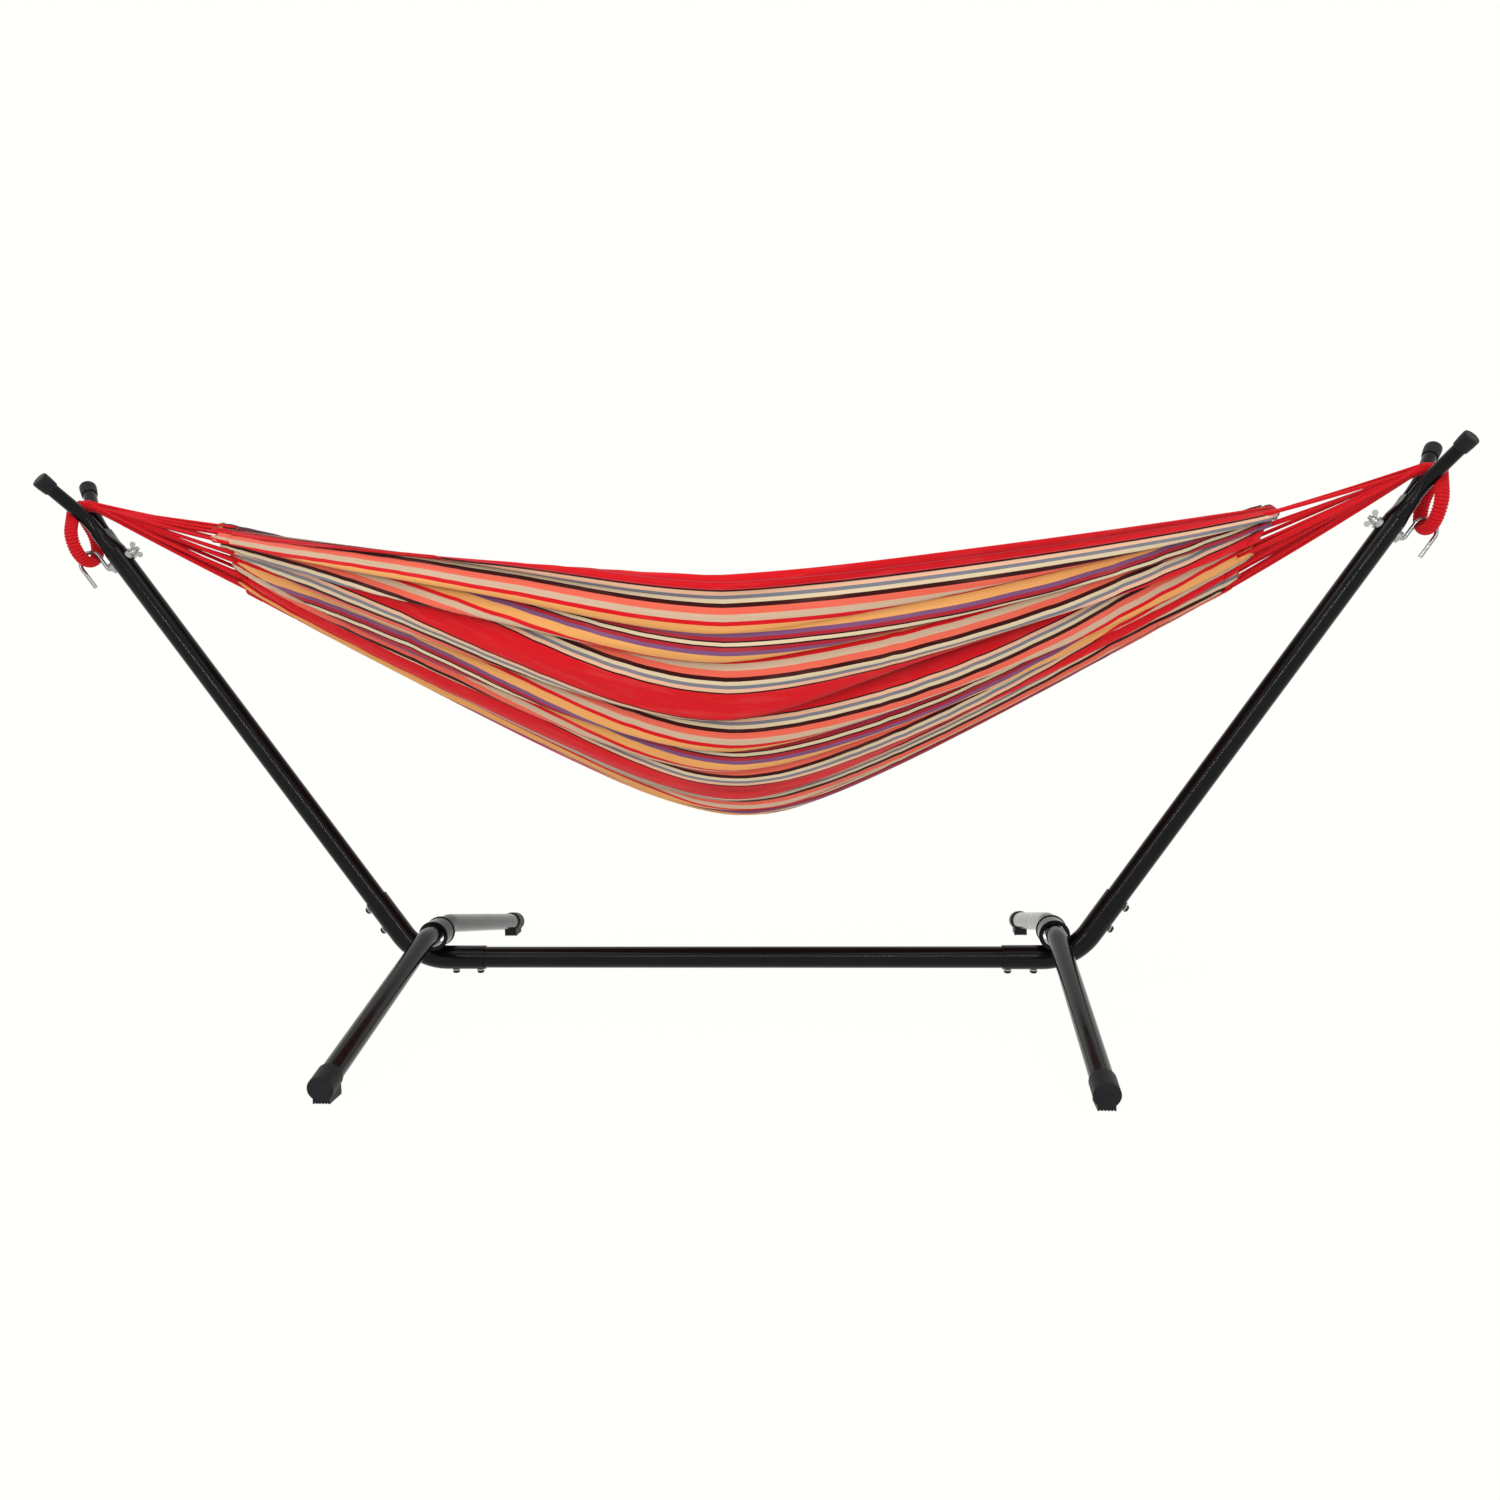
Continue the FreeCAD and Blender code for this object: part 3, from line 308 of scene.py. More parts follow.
def add_stitches(tree, cloth, along, across, colour, height):
    """Two runs of lockstitch along a hem: short thread dashes in a shallow pucker, with painted
    shade along each run.
    """
    from_edge = maths(tree, "PINGPONG", across, cloth.width / 2)
    for row in (0.52, 0.93):
        off = maths(tree, "ABSOLUTE", maths(tree, "SUBTRACT", from_edge, cloth.hem * row))
        on_line = maths(tree, "LESS_THAN", off, 0.0007)
        dash = maths(tree, "LESS_THAN", maths(tree, "PINGPONG", along, 0.002), 0.0015)
        thread = maths(tree, "MULTIPLY", on_line, dash)
        pucker = ranged(tree, off, 0.0, 0.0035, -2.0, 0.0)
        # Painted shade: the cloth darkens toward each stitch line, where the pucker dips.
        colour = mixed(tree, ranged(tree, off, 0.0, 0.003, 0.5, 0.0), colour, (0.10, 0.005, 0.01))
        colour = mixed(tree, maths(tree, "MULTIPLY", thread, 0.85), colour, (0.62, 0.05, 0.07))
        raised = maths(tree, "ADD", pucker, maths(tree, "MULTIPLY", thread, 2.5))
        height = maths(tree, "ADD", height, raised)
    return colour, height


def cord_material(cords, name, lay, strands, groove_shade):
    """Twisted cotton cord; its UV map holds metres along and turns around."""
    material, tree, shader = new_material(name)
    place = node(tree, "ShaderNodeUVMap", uv_map="cord").outputs[0]
    split = node(tree, "ShaderNodeSeparateXYZ", {0: place})
    laid = place_effect(tree, "laid_strands", {"Along": split.outputs[0],
                                               "Around": split.outputs[1],
                                               "Lay": lay, "Strands": strands})
    groove_shade_red = tuple(c * 0.35 for c in cords.red)
    pale = tuple(min(1.0, c * 1.3 + 0.005) for c in cords.red)
    base = mixed(tree, ranged(tree, laid["Fuzz"], 0.3, 0.75, 0.0, 1.0), tuple(cords.red), pale)
    # Painted shade: the red is darkened in the grooves between strands and turns.
    colour = mixed(tree, maths(tree, "MULTIPLY", laid["Groove shade"], groove_shade), base, groove_shade_red)
    tree.links.new(colour, shader.inputs["Base Color"])
    tree.links.new(ranged(tree, laid["Fuzz"], 0.2, 0.8, 0.75, 0.95), shader.inputs["Roughness"])
    height = maths(tree, "ADD", laid["Height"], maths(tree, "MULTIPLY", laid["Fuzz"], 0.35))
    bump = node(tree, "ShaderNodeBump", {"Height": height, "Strength": 0.45, "Distance": 0.0008})
    tree.links.new(bump.outputs[0], shader.inputs["Normal"])
    shader.inputs["Sheen Weight"].default_value = 0.08
    shader.inputs["Specular IOR Level"].default_value = 0.1
    return material


def coated_material(name, colour, roughness, ripple, dust_colour, dust, rub=0.0, metallic=0.0):
    """Painted, moulded or plated finish with a faint ripple, dust and rubs."""
    material, tree, shader = new_material(name)
    spray = place_effect(tree, "sprayed_coat")
    dusty = maths(tree, "MULTIPLY", spray["Dust"], dust)
    shade = mixed(tree, dusty, tuple(colour), dust_colour)
    rubbed = maths(tree, "MULTIPLY", spray["Rub"], rub)
    shade = mixed(tree, rubbed, shade, tuple(min(1, c * 2.2 + 0.02) for c in colour))
    tree.links.new(shade, shader.inputs["Base Color"])
    rough = maths(tree, "ADD", maths(tree, "MULTIPLY", spray["Dust"], 0.12), roughness)
    rough = maths(tree, "ADD", rough, maths(tree, "MULTIPLY", rubbed, 0.25))
    tree.links.new(rough, shader.inputs["Roughness"])
    bump = node(tree, "ShaderNodeBump", {"Height": spray["Ripple"], "Strength": ripple,
                                         "Distance": 0.0003})
    tree.links.new(bump.outputs[0], shader.inputs["Normal"])
    shader.inputs["Metallic"].default_value = metallic
    shader.inputs["Specular IOR Level"].default_value = 0.5 if metallic else 0.14
    return material


# ---------------------------------------------------------------- mesh helpers

def mesh_object(name, points, faces, material, uv_name, uvs):
    """A mesh piece at the origin with one UV map; uvs holds one pair for each face corner."""
    mesh = bpy.data.meshes.new(name)
    mesh.from_pydata([tuple(p) for p in points], [], faces)
    layer = mesh.uv_layers.new(name=uv_name)
    layer.data.foreach_set("uv", np.asarray(uvs, dtype=np.float32).ravel())
    mesh.materials.append(material)
    mesh.polygons.foreach_set("use_smooth", [True] * len(mesh.polygons))
    piece = bpy.data.objects.new(name, mesh)
    bpy.context.collection.objects.link(piece)
    return piece


def select_only(piece):
    bpy.ops.object.select_all(action="DESELECT")
    piece.select_set(True)
    bpy.context.view_layer.objects.active = piece


def finish_modifier(piece, kind, **settings):
    """Add a modifier with its settings and apply it."""
    select_only(piece)
    modifier = piece.modifiers.new(kind.lower(), kind)
    for key, value in settings.items():
        setattr(modifier, key, value)
    bpy.ops.object.modifier_apply(modifier=modifier.name)


def grid_piece(name, grid, along, across, painted_crease_shade, material):
    """A sheet through a grid of points; along and across are its UVs, and the painted shade of its
    fold valleys is stored as an attribute.
    """
    rows, columns = grid.shape[:2]
    faces, uvs = [], []
    for i in range(rows - 1):
        for j in range(columns - 1):
            corners = ((i, j), (i + 1, j), (i + 1, j + 1), (i, j + 1))
            faces.append([a * columns + b for a, b in corners])
            uvs.extend((along[a, b], across[a, b]) for a, b in corners)
    piece = mesh_object(name, grid.reshape(-1, 3), faces, material, "cloth", uvs)
    painted_shade = piece.data.attributes.new("painted_crease_shade", "FLOAT", "POINT")
    painted_shade.data.foreach_set("value", painted_crease_shade.ravel().astype(np.float32))
    return piece


def travelling_frames(path):
    """Tangent, side and up at each point, with the side turned as little as possible."""
    tangent = np.gradient(path, axis=0)
    tangent /= np.linalg.norm(tangent, axis=1)[:, None]
    side = np.zeros_like(path)
    helper = (0, 0, 1) if abs(tangent[0][2]) < 0.9 else (0, 1, 0)
    start = np.cross(tangent[0], helper)
    side[0] = start / np.linalg.norm(start)
    for i in range(1, len(path)):
        moved = side[i - 1] - tangent[i] * side[i - 1].dot(tangent[i])
        side[i] = moved / np.linalg.norm(moved)
    return tangent, side, np.cross(tangent, side)


def tube_data(path, radius_side, radius_up, sides, frames=None, closed=False):
    """Points, faces and UVs of a round or oval tube along a path."""
    _, side, up = frames or travelling_frames(path)
    turns = np.linspace(0, math.tau, sides, endpoint=False)
    wide = np.broadcast_to(radius_side, (len(path),))[:, None, None]
    tall = np.broadcast_to(radius_up, (len(path),))[:, None, None]
    ring = (side[:, None] * np.cos(turns)[None, :, None] * wide
            + up[:, None] * np.sin(turns)[None, :, None] * tall)
    points = (path[:, None] + ring).reshape(-1, 3)
    steps = np.linalg.norm(np.diff(path, axis=0, append=path[:1]), axis=1)
    reach = np.concatenate(([0], np.cumsum(steps)))
    faces, uvs = [], []
    rows = len(path) if closed else len(path) - 1
    for i in range(rows):
        for j in range(sides):
            k = (j + 1) % sides
            n = (i + 1) % len(path)
            faces.append([i * sides + j, i * sides + k, n * sides + k, n * sides + j])
            uvs += [(reach[i], j / sides), (reach[i], (j + 1) / sides),
                    (reach[i + 1], (j + 1) / sides), (reach[i + 1], j / sides)]
    if not closed:
        for row, order in ((0, range(sides)), (len(path) - 1, range(sides - 1, -1, -1))):
            faces.append([row * sides + j for j in order])
            uvs += [(reach[row], 0.5)] * sides
    return points, faces, uvs


def tube_piece(name, tubes, material):
    """One piece from several tubes."""
    points, faces, uvs = [], [], []
    for part_points, part_faces, part_uvs in tubes:
        base = len(points)
        points.extend(part_points)
        faces.extend([[base + i for i in face] for face in part_faces])
        uvs.extend(part_uvs)
    piece = mesh_object(name, points, faces, material, "cord", uvs)
    select_only(piece)
    bpy.ops.object.mode_set(mode="EDIT")
    bpy.ops.mesh.select_all(action="SELECT")
    bpy.ops.mesh.normals_make_consistent(inside=False)
    bpy.ops.object.mode_set(mode="OBJECT")
    return piece


# ---------------------------------------------------------------- the shape of the cloth

END_X = 1.0                     # half length of the bed, as its sections are stated
LOWEST_X = 0.02                 # where the bed hangs lowest
GATHERED_HALF, SPREAD_HALF = 0.030, 0.408
RIM_MIDDLE, RIM_RISE = 0.821, 0.118
BOTTOM_MIDDLE, BOTTOM_RISE = 0.377, 0.470
BEND = 0.17                     # how gently the bottom line turns at the middle
SECTION_POINTS = 2600
RIM_POINTS = 60                 # points of the strip of cloth rolled in at each rim
HEM_SHARE = 0.018               # one hem's share of the width
CREST_START = 0.62              # below this the fold's valley gets painted shade
SOLVER_STEPS = 22
FOLD_LIMIT = 0.05               # deepest fold that the solver tries
STATIONS = 105
BAND_ROWS = 3                   # rows of the grid in an end band


def hollow(x):
    """Half width, rim height and bottom height of the hanging cloth at x."""
    share = np.clip(np.abs(x - LOWEST_X) / END_X, 0, 1.05)
    half_width = GATHERED_HALF + SPREAD_HALF * np.clip(1 - share ** 2.0, 0, 1)
    rim = RIM_MIDDLE + RIM_RISE * share ** 1.3
    slack = (np.hypot(share, BEND) - BEND) / (math.hypot(1, BEND) - BEND)
    bottom = BOTTOM_MIDDLE + BOTTOM_RISE * slack
    return half_width, rim, bottom


def lengths_along(points):
    """Distance travelled at each point of a line, from 0."""
    steps = np.linalg.norm(np.diff(points, axis=0), axis=1)
    return np.concatenate(([0], np.cumsum(steps)))


def uneven(a, b, seed):
    """A smooth irregular value from -1 to 1 over two coordinates."""
    total = np.zeros(np.broadcast(a, b).shape)
    for index in range(1, 6):
        angle = seed * 1.7 + index * 2.399
        swirl = 1.9 * np.sin(b * 1.7 + angle)
        total = total + np.sin(a * index * 1.31 + angle * 3.1 + swirl) / index ** 0.7
    return total / 2.6


def fold_phase(cloth, share):
    """Where each point across the cloth lies in its folds; broad folds carry the wide red bands."""
    repeats = 6 * share
    return math.tau * cloth.folds * repeats - 0.55 * cloth.folds * np.sin(math.tau * repeats)


def base_outline(x):
    """The smooth outline across at x, with each rim rolled inwards, at even steps: y and z."""
    half_width, rim, bottom = (float(v) for v in hollow(np.array(x)))
    angle = np.linspace(-math.pi / 2, math.pi / 2, SECTION_POINTS)
    base = np.stack([half_width * np.sin(angle), bottom + (rim - bottom) * (1 - np.cos(angle))],
                    axis=1)
    girth = np.linalg.norm(np.diff(base, axis=0), axis=1).sum()
    curl = 0.026 * girth / (1 + math.exp((x + 0.25) / 0.1))
    inward = np.linspace(0, 1, RIM_POINTS)[1:, None] * curl
    front = base[0] + inward[::-1] * (0.9, -0.42)
    back = base[-1] + inward * (-0.4, -0.15)
    base = np.concatenate([front, base, back])
    share = lengths_along(base)
    share = share / share[-1]
    even = np.linspace(0, 1, SECTION_POINTS)
    return np.stack([np.interp(even, share, base[:, axis]) for axis in (0, 1)], axis=1)


def section(cloth, x):
    """The folded outline across at x, at even steps: y, z and how much painted shade each gets in
    the fold valleys and wrinkle dips.
    """
    base = base_outline(x)
    even = np.linspace(0, 1, SECTION_POINTS)
    tangent = np.gradient(base, axis=0)
    tangent /= np.linalg.norm(tangent, axis=1)[:, None]
    outward = np.stack([tangent[:, 1], -tangent[:, 0]], axis=1)

    # The folds move along by half a fold from the left half of the bed to the right.
    swap = 1 / (1 + math.exp(-(x - 0.12) / 0.09))
    lead = (1.5 * swap - 1.0) * np.cos(math.pi * even)
    phase = (fold_phase(cloth, even) + math.pi * swap - lead
             + 0.35 * uneven(even * 9, np.array(x * 2.0), 3))
    crest = np.abs(np.cos(phase / 2)) ** 0.8
    wave = 2.2 * (crest - 0.63) + 0.12 * np.cos(2 * phase + 1.0)
    near_edge = np.minimum(even, 1 - even) / HEM_SHARE
    strength = 1 + 0.6 * uneven(even * 11, np.array(x * 1.3), 1)
    strength = strength * np.clip(0.25 + near_edge * 0.4, 0, 1)
    ripple = wave * strength
    valley = np.clip(1 - crest / CREST_START, 0, 1) ** 1.5 * np.clip(strength, 0, 1.4)

    # Fine wrinkles where the bed hangs lowest.
    sag = math.exp(-((x - 0.03) / 0.22) ** 2) * np.exp(-((even - 0.42) / 0.13) ** 2)
    pucker = sag * uneven(even * 52, np.array(abs(x - 0.03) * 9.0), 7)
    wrinkle = outward * (0.0035 * pucker)[:, None]

    lean = 1.15 * np.cos(math.pi * even) * np.clip(near_edge / 4, 0, 1)
    drift = outward + tangent * lean[:, None]

    def outline(size):
        return base + wrinkle + drift * (ripple * size)[:, None]

    # The folds are as deep as it takes to use up the cloth's width.
    low, high = 0.0, FOLD_LIMIT
    for _ in range(SOLVER_STEPS):
        middle = (low + high) / 2
        if np.linalg.norm(np.diff(outline(middle), axis=0), axis=1).sum() < cloth.width:
            low = middle
        else:
            high = middle
    shape = outline(low)
    reach = lengths_along(shape)
    reach /= reach[-1]
    # Painted shade: darker in the fold valleys and in the dips of the fine wrinkles.
    painted_crease_shade = valley * min(1.0, low / 0.012) + np.clip(-pucker, 0, 0.7)
    even_share = np.linspace(0, 1, cloth.across)
    return np.stack([np.interp(even_share, reach, values)
                     for values in (shape[:, 0], shape[:, 1], painted_crease_shade)], axis=1)


def end_reach(cloth, share, height, side):
    """How far out each line of the cloth ends: the rim furthest, and each fold scalloped."""
    flip, inner, extra = (0, 0.955, 0.068) if side < 0 else (math.pi, 0.927, 0.088)
    phase = fold_phase(cloth, share) + flip
    slant = inner + extra * height ** 0.8
    return slant + 0.007 * np.cos(phase) + 0.004 * np.cos(3 * phase + 1)


def cloth_grid(cloth):
    """Points, metres along, metres across and painted crease shade of the whole cloth."""
    share = np.linspace(0, 1, cloth.across)
    stations = np.linspace(-END_X * 1.04, END_X * 1.04, STATIONS)
    sections = np.stack([section(cloth, x) for x in stations])
    eased = np.linspace(-1, 1, cloth.along)
    eased = np.sign(eased) * np.abs(eased) ** 0.9
    grid = np.zeros((cloth.along, cloth.across, 3))
    painted_crease_shade = np.zeros((cloth.along, cloth.across))
    angle = np.abs(share - 0.5) * 2
    for j in range(cloth.across):
        height = 1 - math.cos(angle[j] * math.pi / 2)
        reach = np.where(eased < 0, end_reach(cloth, share[j], height, -1),
                         end_reach(cloth, share[j], height, 1))
        x = eased * reach
        grid[:, j, 0] = x
        grid[:, j, 1] = np.interp(x, stations, sections[:, j, 0])
        grid[:, j, 2] = np.interp(x, stations, sections[:, j, 1])
        painted_crease_shade[:, j] = np.interp(x, stations, sections[:, j, 2])
    steps = np.linalg.norm(np.diff(grid, axis=0), axis=2)
    along = np.concatenate([np.zeros((1, cloth.across)), np.cumsum(steps, axis=0)])
    along -= along[cloth.along // 2]
    across = np.broadcast_to(share * cloth.width, along.shape)
    return grid, along, across, painted_crease_shade


_cloth = {}


def built_cloth(cloth):
    """The cloth's grid, worked out once and used by the cloth, its hems and the cords."""
    if "grid" not in _cloth:
        _cloth["grid"] = cloth_grid(cloth)
    return _cloth["grid"]


# ---------------------------------------------------------------- operators

class HAMMOCK_OT_finish_stand(bpy.types.Operator):
    """Give the steel, rubber and plated pieces of the frame their finishes"""
    bl_idname = "hammock.finish_stand"
    bl_label = "Finish Stand"

    def execute(self, context):
        stand = context.scene.hammock_stand
        grey_dust = (0.32, 0.31, 0.30)
        finishes = {
            "black_tube": coated_material("gloss_black_tube", stand.black, 0.13, 0.0,
                                          grey_dust, 0.004),
            "black_rubber": coated_material("black_rubber", stand.rubber, 0.45, 0.4,
                                            grey_dust, 0.02, rub=0.2),
            "black_bolt": coated_material("black_oxide_bolt", stand.oxide, 0.32, 0.3,
                                          grey_dust, 0.05, rub=0.6, metallic=0.8),
            "zinc": coated_material("zinc_plate", stand.zinc, 0.22, 0.02,
                                    (0.35, 0.35, 0.33), 0.05, metallic=1.0),
            "zinc_rod": coated_material("plated_rod", stand.rod, 0.2, 0.01,
                                        (0.2, 0.2, 0.2), 0.05, metallic=1.0),
        }
        for entry in frame["record"]["subparts"]:
            finish = finishes.get(entry["material_slot"])
            if finish is None:
                continue
            piece = frame["nodes"][entry["node"]]
            piece.data.materials.clear()
            piece.data.materials.append(finish)
        return {"FINISHED"}


class HAMMOCK_OT_cloth(bpy.types.Operator):
    """Hang the striped cloth, gathered in folds at both ends, with its hems"""
    bl_idname = "hammock.cloth"
    bl_label = "Cloth"

    def execute(self, context):
        cloth = context.scene.hammock_cloth
        grid, along, across, painted_crease_shade = built_cloth(cloth)
        plain = cloth_material(cloth, "striped_cotton", False)
        stitched = cloth_material(cloth, "stitched_cotton", True)
        bed = grid_piece("striped_bed", grid, along, across, painted_crease_shade, plain)
        finish_modifier(bed, "SOLIDIFY", thickness=cloth.thickness, offset=0)
        columns = max(2, round(cloth.hem / cloth.width * (cloth.across - 1))) + 1
        hems = []
        for word, first in (("front", 0), ("back", cloth.across - columns)):
            cut = slice(first, first + columns)
            hem = grid_piece(f"{word}_hem", grid[:, cut], along[:, cut], across[:, cut],
                             painted_crease_shade[:, cut], stitched)
            finish_modifier(hem, "SOLIDIFY", thickness=cloth.thickness * 3, offset=0)
            hems.append(hem)
        for word, first in (("left", 0), ("right", cloth.along - BAND_ROWS)):
            rows = slice(first, first + BAND_ROWS)
            band = grid_piece(f"{word}_end_band", grid[rows], along[rows], across[rows],
                              painted_crease_shade[rows], plain)
            finish_modifier(band, "SOLIDIFY", thickness=cloth.thickness * 2.4, offset=0)
            hems.append(band)
        for piece in (bed, *hems):
            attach(piece, "hammock")
        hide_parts("hammock_bed")
        return {"FINISHED"}


CROTCH_X, CROTCH_Z = 1.288, 1.002           # where each fork's horns part
LOOP_TOP = Vector((1.312, 0, 1.000))
LOOP_BOTTOM = Vector((1.2895, 0, 0.890))
LOOP_BIG, LOOP_SMALL = 0.044, 0.012         # radii of the drop's two ends
NECK_START, NECK_LENGTH = 1.279, 0.036
NECK_RADIUS = 0.0085                        # inside the ribs of the winding
GOLDEN_TURN = math.pi * (3 - math.sqrt(5))


class HAMMOCK_OT_clew_cords(bpy.types.Operator):
    """Run the clew cords from the folds of the cloth to the fork at each end"""
    bl_idname = "hammock.clew_cords"
    bl_label = "Clew Cords"

    def execute(self, context):
        cloth, cords = context.scene.hammock_cloth, context.scene.hammock_cords
        grid = built_cloth(cloth)[0]
        # The clew cords get light painted shade in their grooves.
        material = cord_material(cords, "twisted_red_cord", 0.011, 2.0, 0.18)
        for word, side in ENDS.items():
            row = BAND_ROWS - 1 if side < 0 else cloth.along - BAND_ROWS
            centre = np.array((side * (CROTCH_X - 0.014), 0, CROTCH_Z - 0.002))
            tubes = []
            for index in range(cords.count):
                start_share = (index + 0.5) / cords.count
                if side > 0 and 0 < index < cords.count - 1:
                    start_share = 0.17 + 0.66 * start_share
                column = round(start_share * (cloth.across - 1))
                start = grid[row, column]
                spread = math.sqrt((index + 0.5) / cords.count) * 0.0078
                turn = index * GOLDEN_TURN
                gather = centre + np.array((0, math.cos(turn) * spread, math.sin(turn) * spread))
                finish = gather + np.array((side * 0.03, 0, 0.003))
                share = np.linspace(0, 1, 14)[:, None]
                run = start + (gather - start) * share
                belly = 4 * (share * (1 - share))[:, 0]
                run[:, 2] -= (0.002 + 0.002 * math.sin(index * 2.1)) * belly
                run[:, 1] += 0.004 * math.sin(index * 1.3) * belly
                path = np.concatenate([run, finish[None]])
                radius = cords.diameter / 2 * (1 + 0.12 * math.sin(index * 5.3))
                tubes.append(tube_data(path, radius, radius, 8))
            piece = tube_piece(f"{word}_clew", tubes, material)
            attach(piece, "hammock")
            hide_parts(f"{word}_clew_cords")
        return {"FINISHED"}


def loop_path(side, samples=640):
    """The drop-shaped line of an end loop, the normal of its plane and its length."""
    height = (LOOP_TOP - LOOP_BOTTOM).length
    span = height - LOOP_BIG - LOOP_SMALL
    lean = math.asin((LOOP_BIG - LOOP_SMALL) / span)
    corner = []
    for turn in np.linspace(-math.pi / 2, lean, 90):
        corner.append((LOOP_BIG * math.cos(turn), LOOP_BIG + LOOP_BIG * math.sin(turn)))
    for turn in np.linspace(lean, math.pi / 2, 30):
        corner.append((LOOP_SMALL * math.cos(turn),
                       height - LOOP_SMALL + LOOP_SMALL * math.sin(turn)))
    half = np.array(corner)
    drop = np.concatenate([half, (half * (-1, 1))[::-1][1:-1]])
    wide = np.concatenate([drop, drop[:1]])
    reach = lengths_along(wide)
    even = np.linspace(0, reach[-1], samples, endpoint=False)
    y, up = np.interp(even, reach, wide[:, 0]), np.interp(even, reach, wide[:, 1])
    along = np.array((LOOP_TOP - LOOP_BOTTOM).normalized())
    line = np.array(LOOP_BOTTOM) + np.outer(up, along) + np.outer(y, (0, 1, 0))
    line[:, 0] *= side
    normal = np.cross(along, (0, 1, 0))
    normal[0] *= side
    return line, normal, reach[-1]


def rib_height(turns, pitch):
    """Height of the round ribs of a winding, from the number of turns wound at each point."""
    return np.sqrt(np.clip(1 - (2 * (turns % 1) - 1) ** 2, 0, 1)) * pitch * 0.5


class HAMMOCK_OT_end_loops(bpy.types.Operator):
    """Wind the end loops and the short neck that passes over each fork"""
    bl_idname = "hammock.end_loops"
    bl_label = "End Loops"

    def execute(self, context):
        cords = context.scene.hammock_cords
        for word, side in ENDS.items():
            line, normal, total = loop_path(side)
            turns = round(total / cords.winding)
            rib = rib_height(np.arange(len(line)) / len(line) * turns, cords.winding)
            # The wound loops get strong painted shade between the turns of the winding.
            material = cord_material(cords, f"{word}_wound_red_cord", total / turns, 0.0, 0.85)
            tangent = np.roll(line, -1, axis=0) - np.roll(line, 1, axis=0)
            tangent /= np.linalg.norm(tangent, axis=1)[:, None]
            out = np.broadcast_to(normal / np.linalg.norm(normal), line.shape)
            across = np.cross(tangent, out)
            wide = cords.loop_width / 2 - cords.winding * 0.5 + rib
            deep = cords.loop_depth / 2 - cords.winding * 0.5 + rib
            tubes = [tube_data(line, wide, deep, 20, frames=(tangent, out, across), closed=True),
                     self.neck(cords, side)]
            piece = tube_piece(f"{word}_wound_loop", tubes, material)
            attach(piece, "stand")
            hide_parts(f"{word}_end_loop")
        return {"FINISHED"}

    def neck(self, cords, side):
        """The wound neck, from just inside the fork out to the top of the loop."""
        share = np.linspace(0, 1, 120)
        path = np.stack([side * (NECK_START + NECK_LENGTH * share), 0 * share,
                         CROTCH_Z - 0.004 * share ** 2], axis=1)
        turns = NECK_LENGTH / cords.winding
        radius = NECK_RADIUS + rib_height(share * turns, cords.winding)
        return tube_data(path, radius, radius, 20)


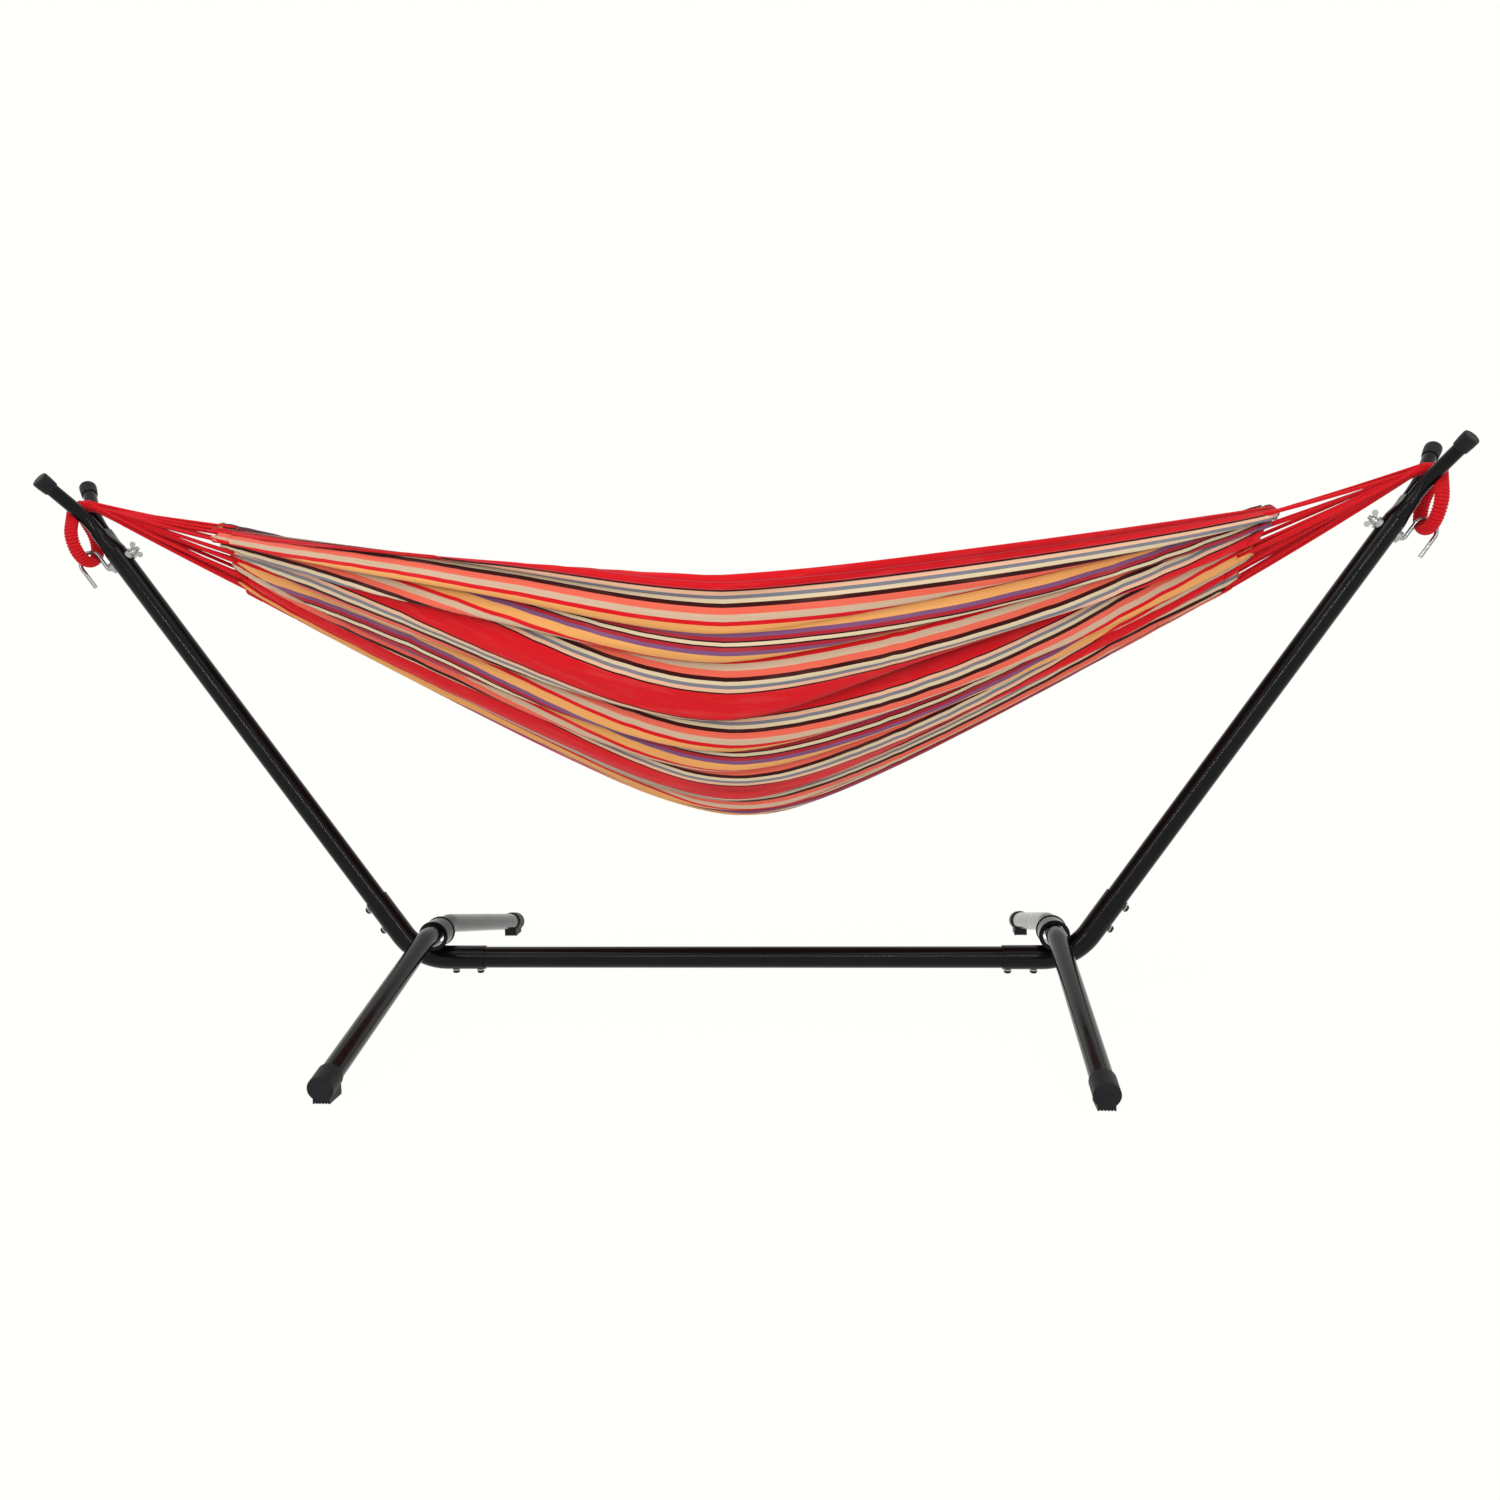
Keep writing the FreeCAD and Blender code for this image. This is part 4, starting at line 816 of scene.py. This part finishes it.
class HAMMOCK_OT_stage(bpy.types.Operator):
    """Set the pale floor, the soft lights and the camera"""
    bl_idname = "hammock.stage"
    bl_label = "Stage"

    def execute(self, context):
        stage = context.scene.hammock_stage
        scene = context.scene
        scene.view_settings.view_transform = "Standard"
        self.floor(stage)
        self.world(scene)
        self.lights()
        self.camera(scene, stage)
        return {"FINISHED"}

    def floor(self, stage):
        bpy.ops.object.select_all(action="DESELECT")
        bpy.ops.mesh.primitive_plane_add(size=14, location=(0, 1, -0.0006))
        floor = bpy.context.object
        floor.name = "floor"
        material, _, shader = new_material("pale_floor")
        shader.inputs["Base Color"].default_value = (0.02, 0.02, 0.02, 1)
        shader.inputs["Roughness"].default_value = 0.9
        shader.inputs["Specular IOR Level"].default_value = 0.0
        shader.inputs["Emission Color"].default_value = (*stage.floor, 1)
        shader.inputs["Emission Strength"].default_value = 0.98
        floor.data.materials.append(material)

    def world(self, scene):
        world = bpy.data.worlds.new("studio")
        world.use_nodes = True
        sky = world.node_tree.nodes["Background"]
        sky.inputs["Color"].default_value = (1.0, 1.0, 0.97, 1)
        sky.inputs["Strength"].default_value = 1.0
        scene.world = world

    def lights(self):
        for name, where, power, size in (
            ("key_light", (0.15, -3.0, 1.55), 26, (3.8, 0.008)),
            ("fill_light", (-0.4, -1.9, 3.6), 26, (2.4, 1.2)),
        ):
            bpy.ops.object.light_add(type="AREA", location=where)
            lamp = bpy.context.object
            lamp.name = name
            lamp.data.energy = power
            lamp.data.shape = "RECTANGLE"
            lamp.data.size, lamp.data.size_y = size
            aim = Vector((0, 0, 0.6)) - Vector(where)
            lamp.rotation_euler = aim.to_track_quat("-Z", "Y").to_euler()

    def camera(self, scene, stage):
        """A camera low in front, right of the middle, turned left and slightly rolled."""
        yaw, pitch, roll = math.radians(4.81), math.radians(-5.18), math.radians(-1.143)
        ahead = Vector((-math.sin(yaw) * math.cos(pitch), math.cos(yaw) * math.cos(pitch),
                        math.sin(pitch)))
        right = Vector((math.cos(yaw), math.sin(yaw), 0))
        up = right.cross(ahead)
        tilted_right = right * math.cos(roll) + up * math.sin(roll)
        tilted_up = up * math.cos(roll) - right * math.sin(roll)
        turn = Matrix((tilted_right, tilted_up, -ahead)).transposed()
        bpy.ops.object.camera_add(location=(0.2573, -2.7196, 0.7443))
        camera = bpy.context.object
        camera.name = "view_camera"
        camera.rotation_euler = turn.to_euler()
        camera.data.lens = stage.focal
        camera.data.sensor_width = 36
        camera.data.clip_start = 0.05
        scene.camera = camera


class HAMMOCK_PT_panel(bpy.types.Panel):
    """Lists the steps of the hammock in the sidebar"""
    bl_idname = "HAMMOCK_PT_panel"
    bl_label = "Hammock on Stand"
    bl_space_type = "VIEW_3D"
    bl_region_type = "UI"
    bl_category = "Hammock"

    def draw(self, context):
        for step in STEPS:
            self.layout.operator(step.bl_idname)


SETTINGS = {
    "hammock_cloth": ClothSettings,
    "hammock_cords": CordSettings,
    "hammock_stand": StandSettings,
    "hammock_stage": StageSettings,
}
STEPS = (
    HAMMOCK_OT_stage,
    HAMMOCK_OT_clew_cords,
    HAMMOCK_OT_end_loops,
    HAMMOCK_OT_finish_stand,
    HAMMOCK_OT_cloth,
)


def register():
    for kind in (*SETTINGS.values(), *STEPS, HAMMOCK_PT_panel):
        bpy.utils.register_class(kind)
    for name, kind in SETTINGS.items():
        setattr(bpy.types.Scene, name, PointerProperty(type=kind))


def unregister():
    for name in SETTINGS:
        delattr(bpy.types.Scene, name)
    for kind in (HAMMOCK_PT_panel, *reversed(STEPS), *SETTINGS.values()):
        bpy.utils.unregister_class(kind)


def main():
    register()
    make_woven_group()
    make_twist_group()
    make_coat_group()
    for step in STEPS:
        family, action = step.bl_idname.split(".")
        getattr(getattr(bpy.ops, family), action)()


if __name__ == "__main__":
    main()
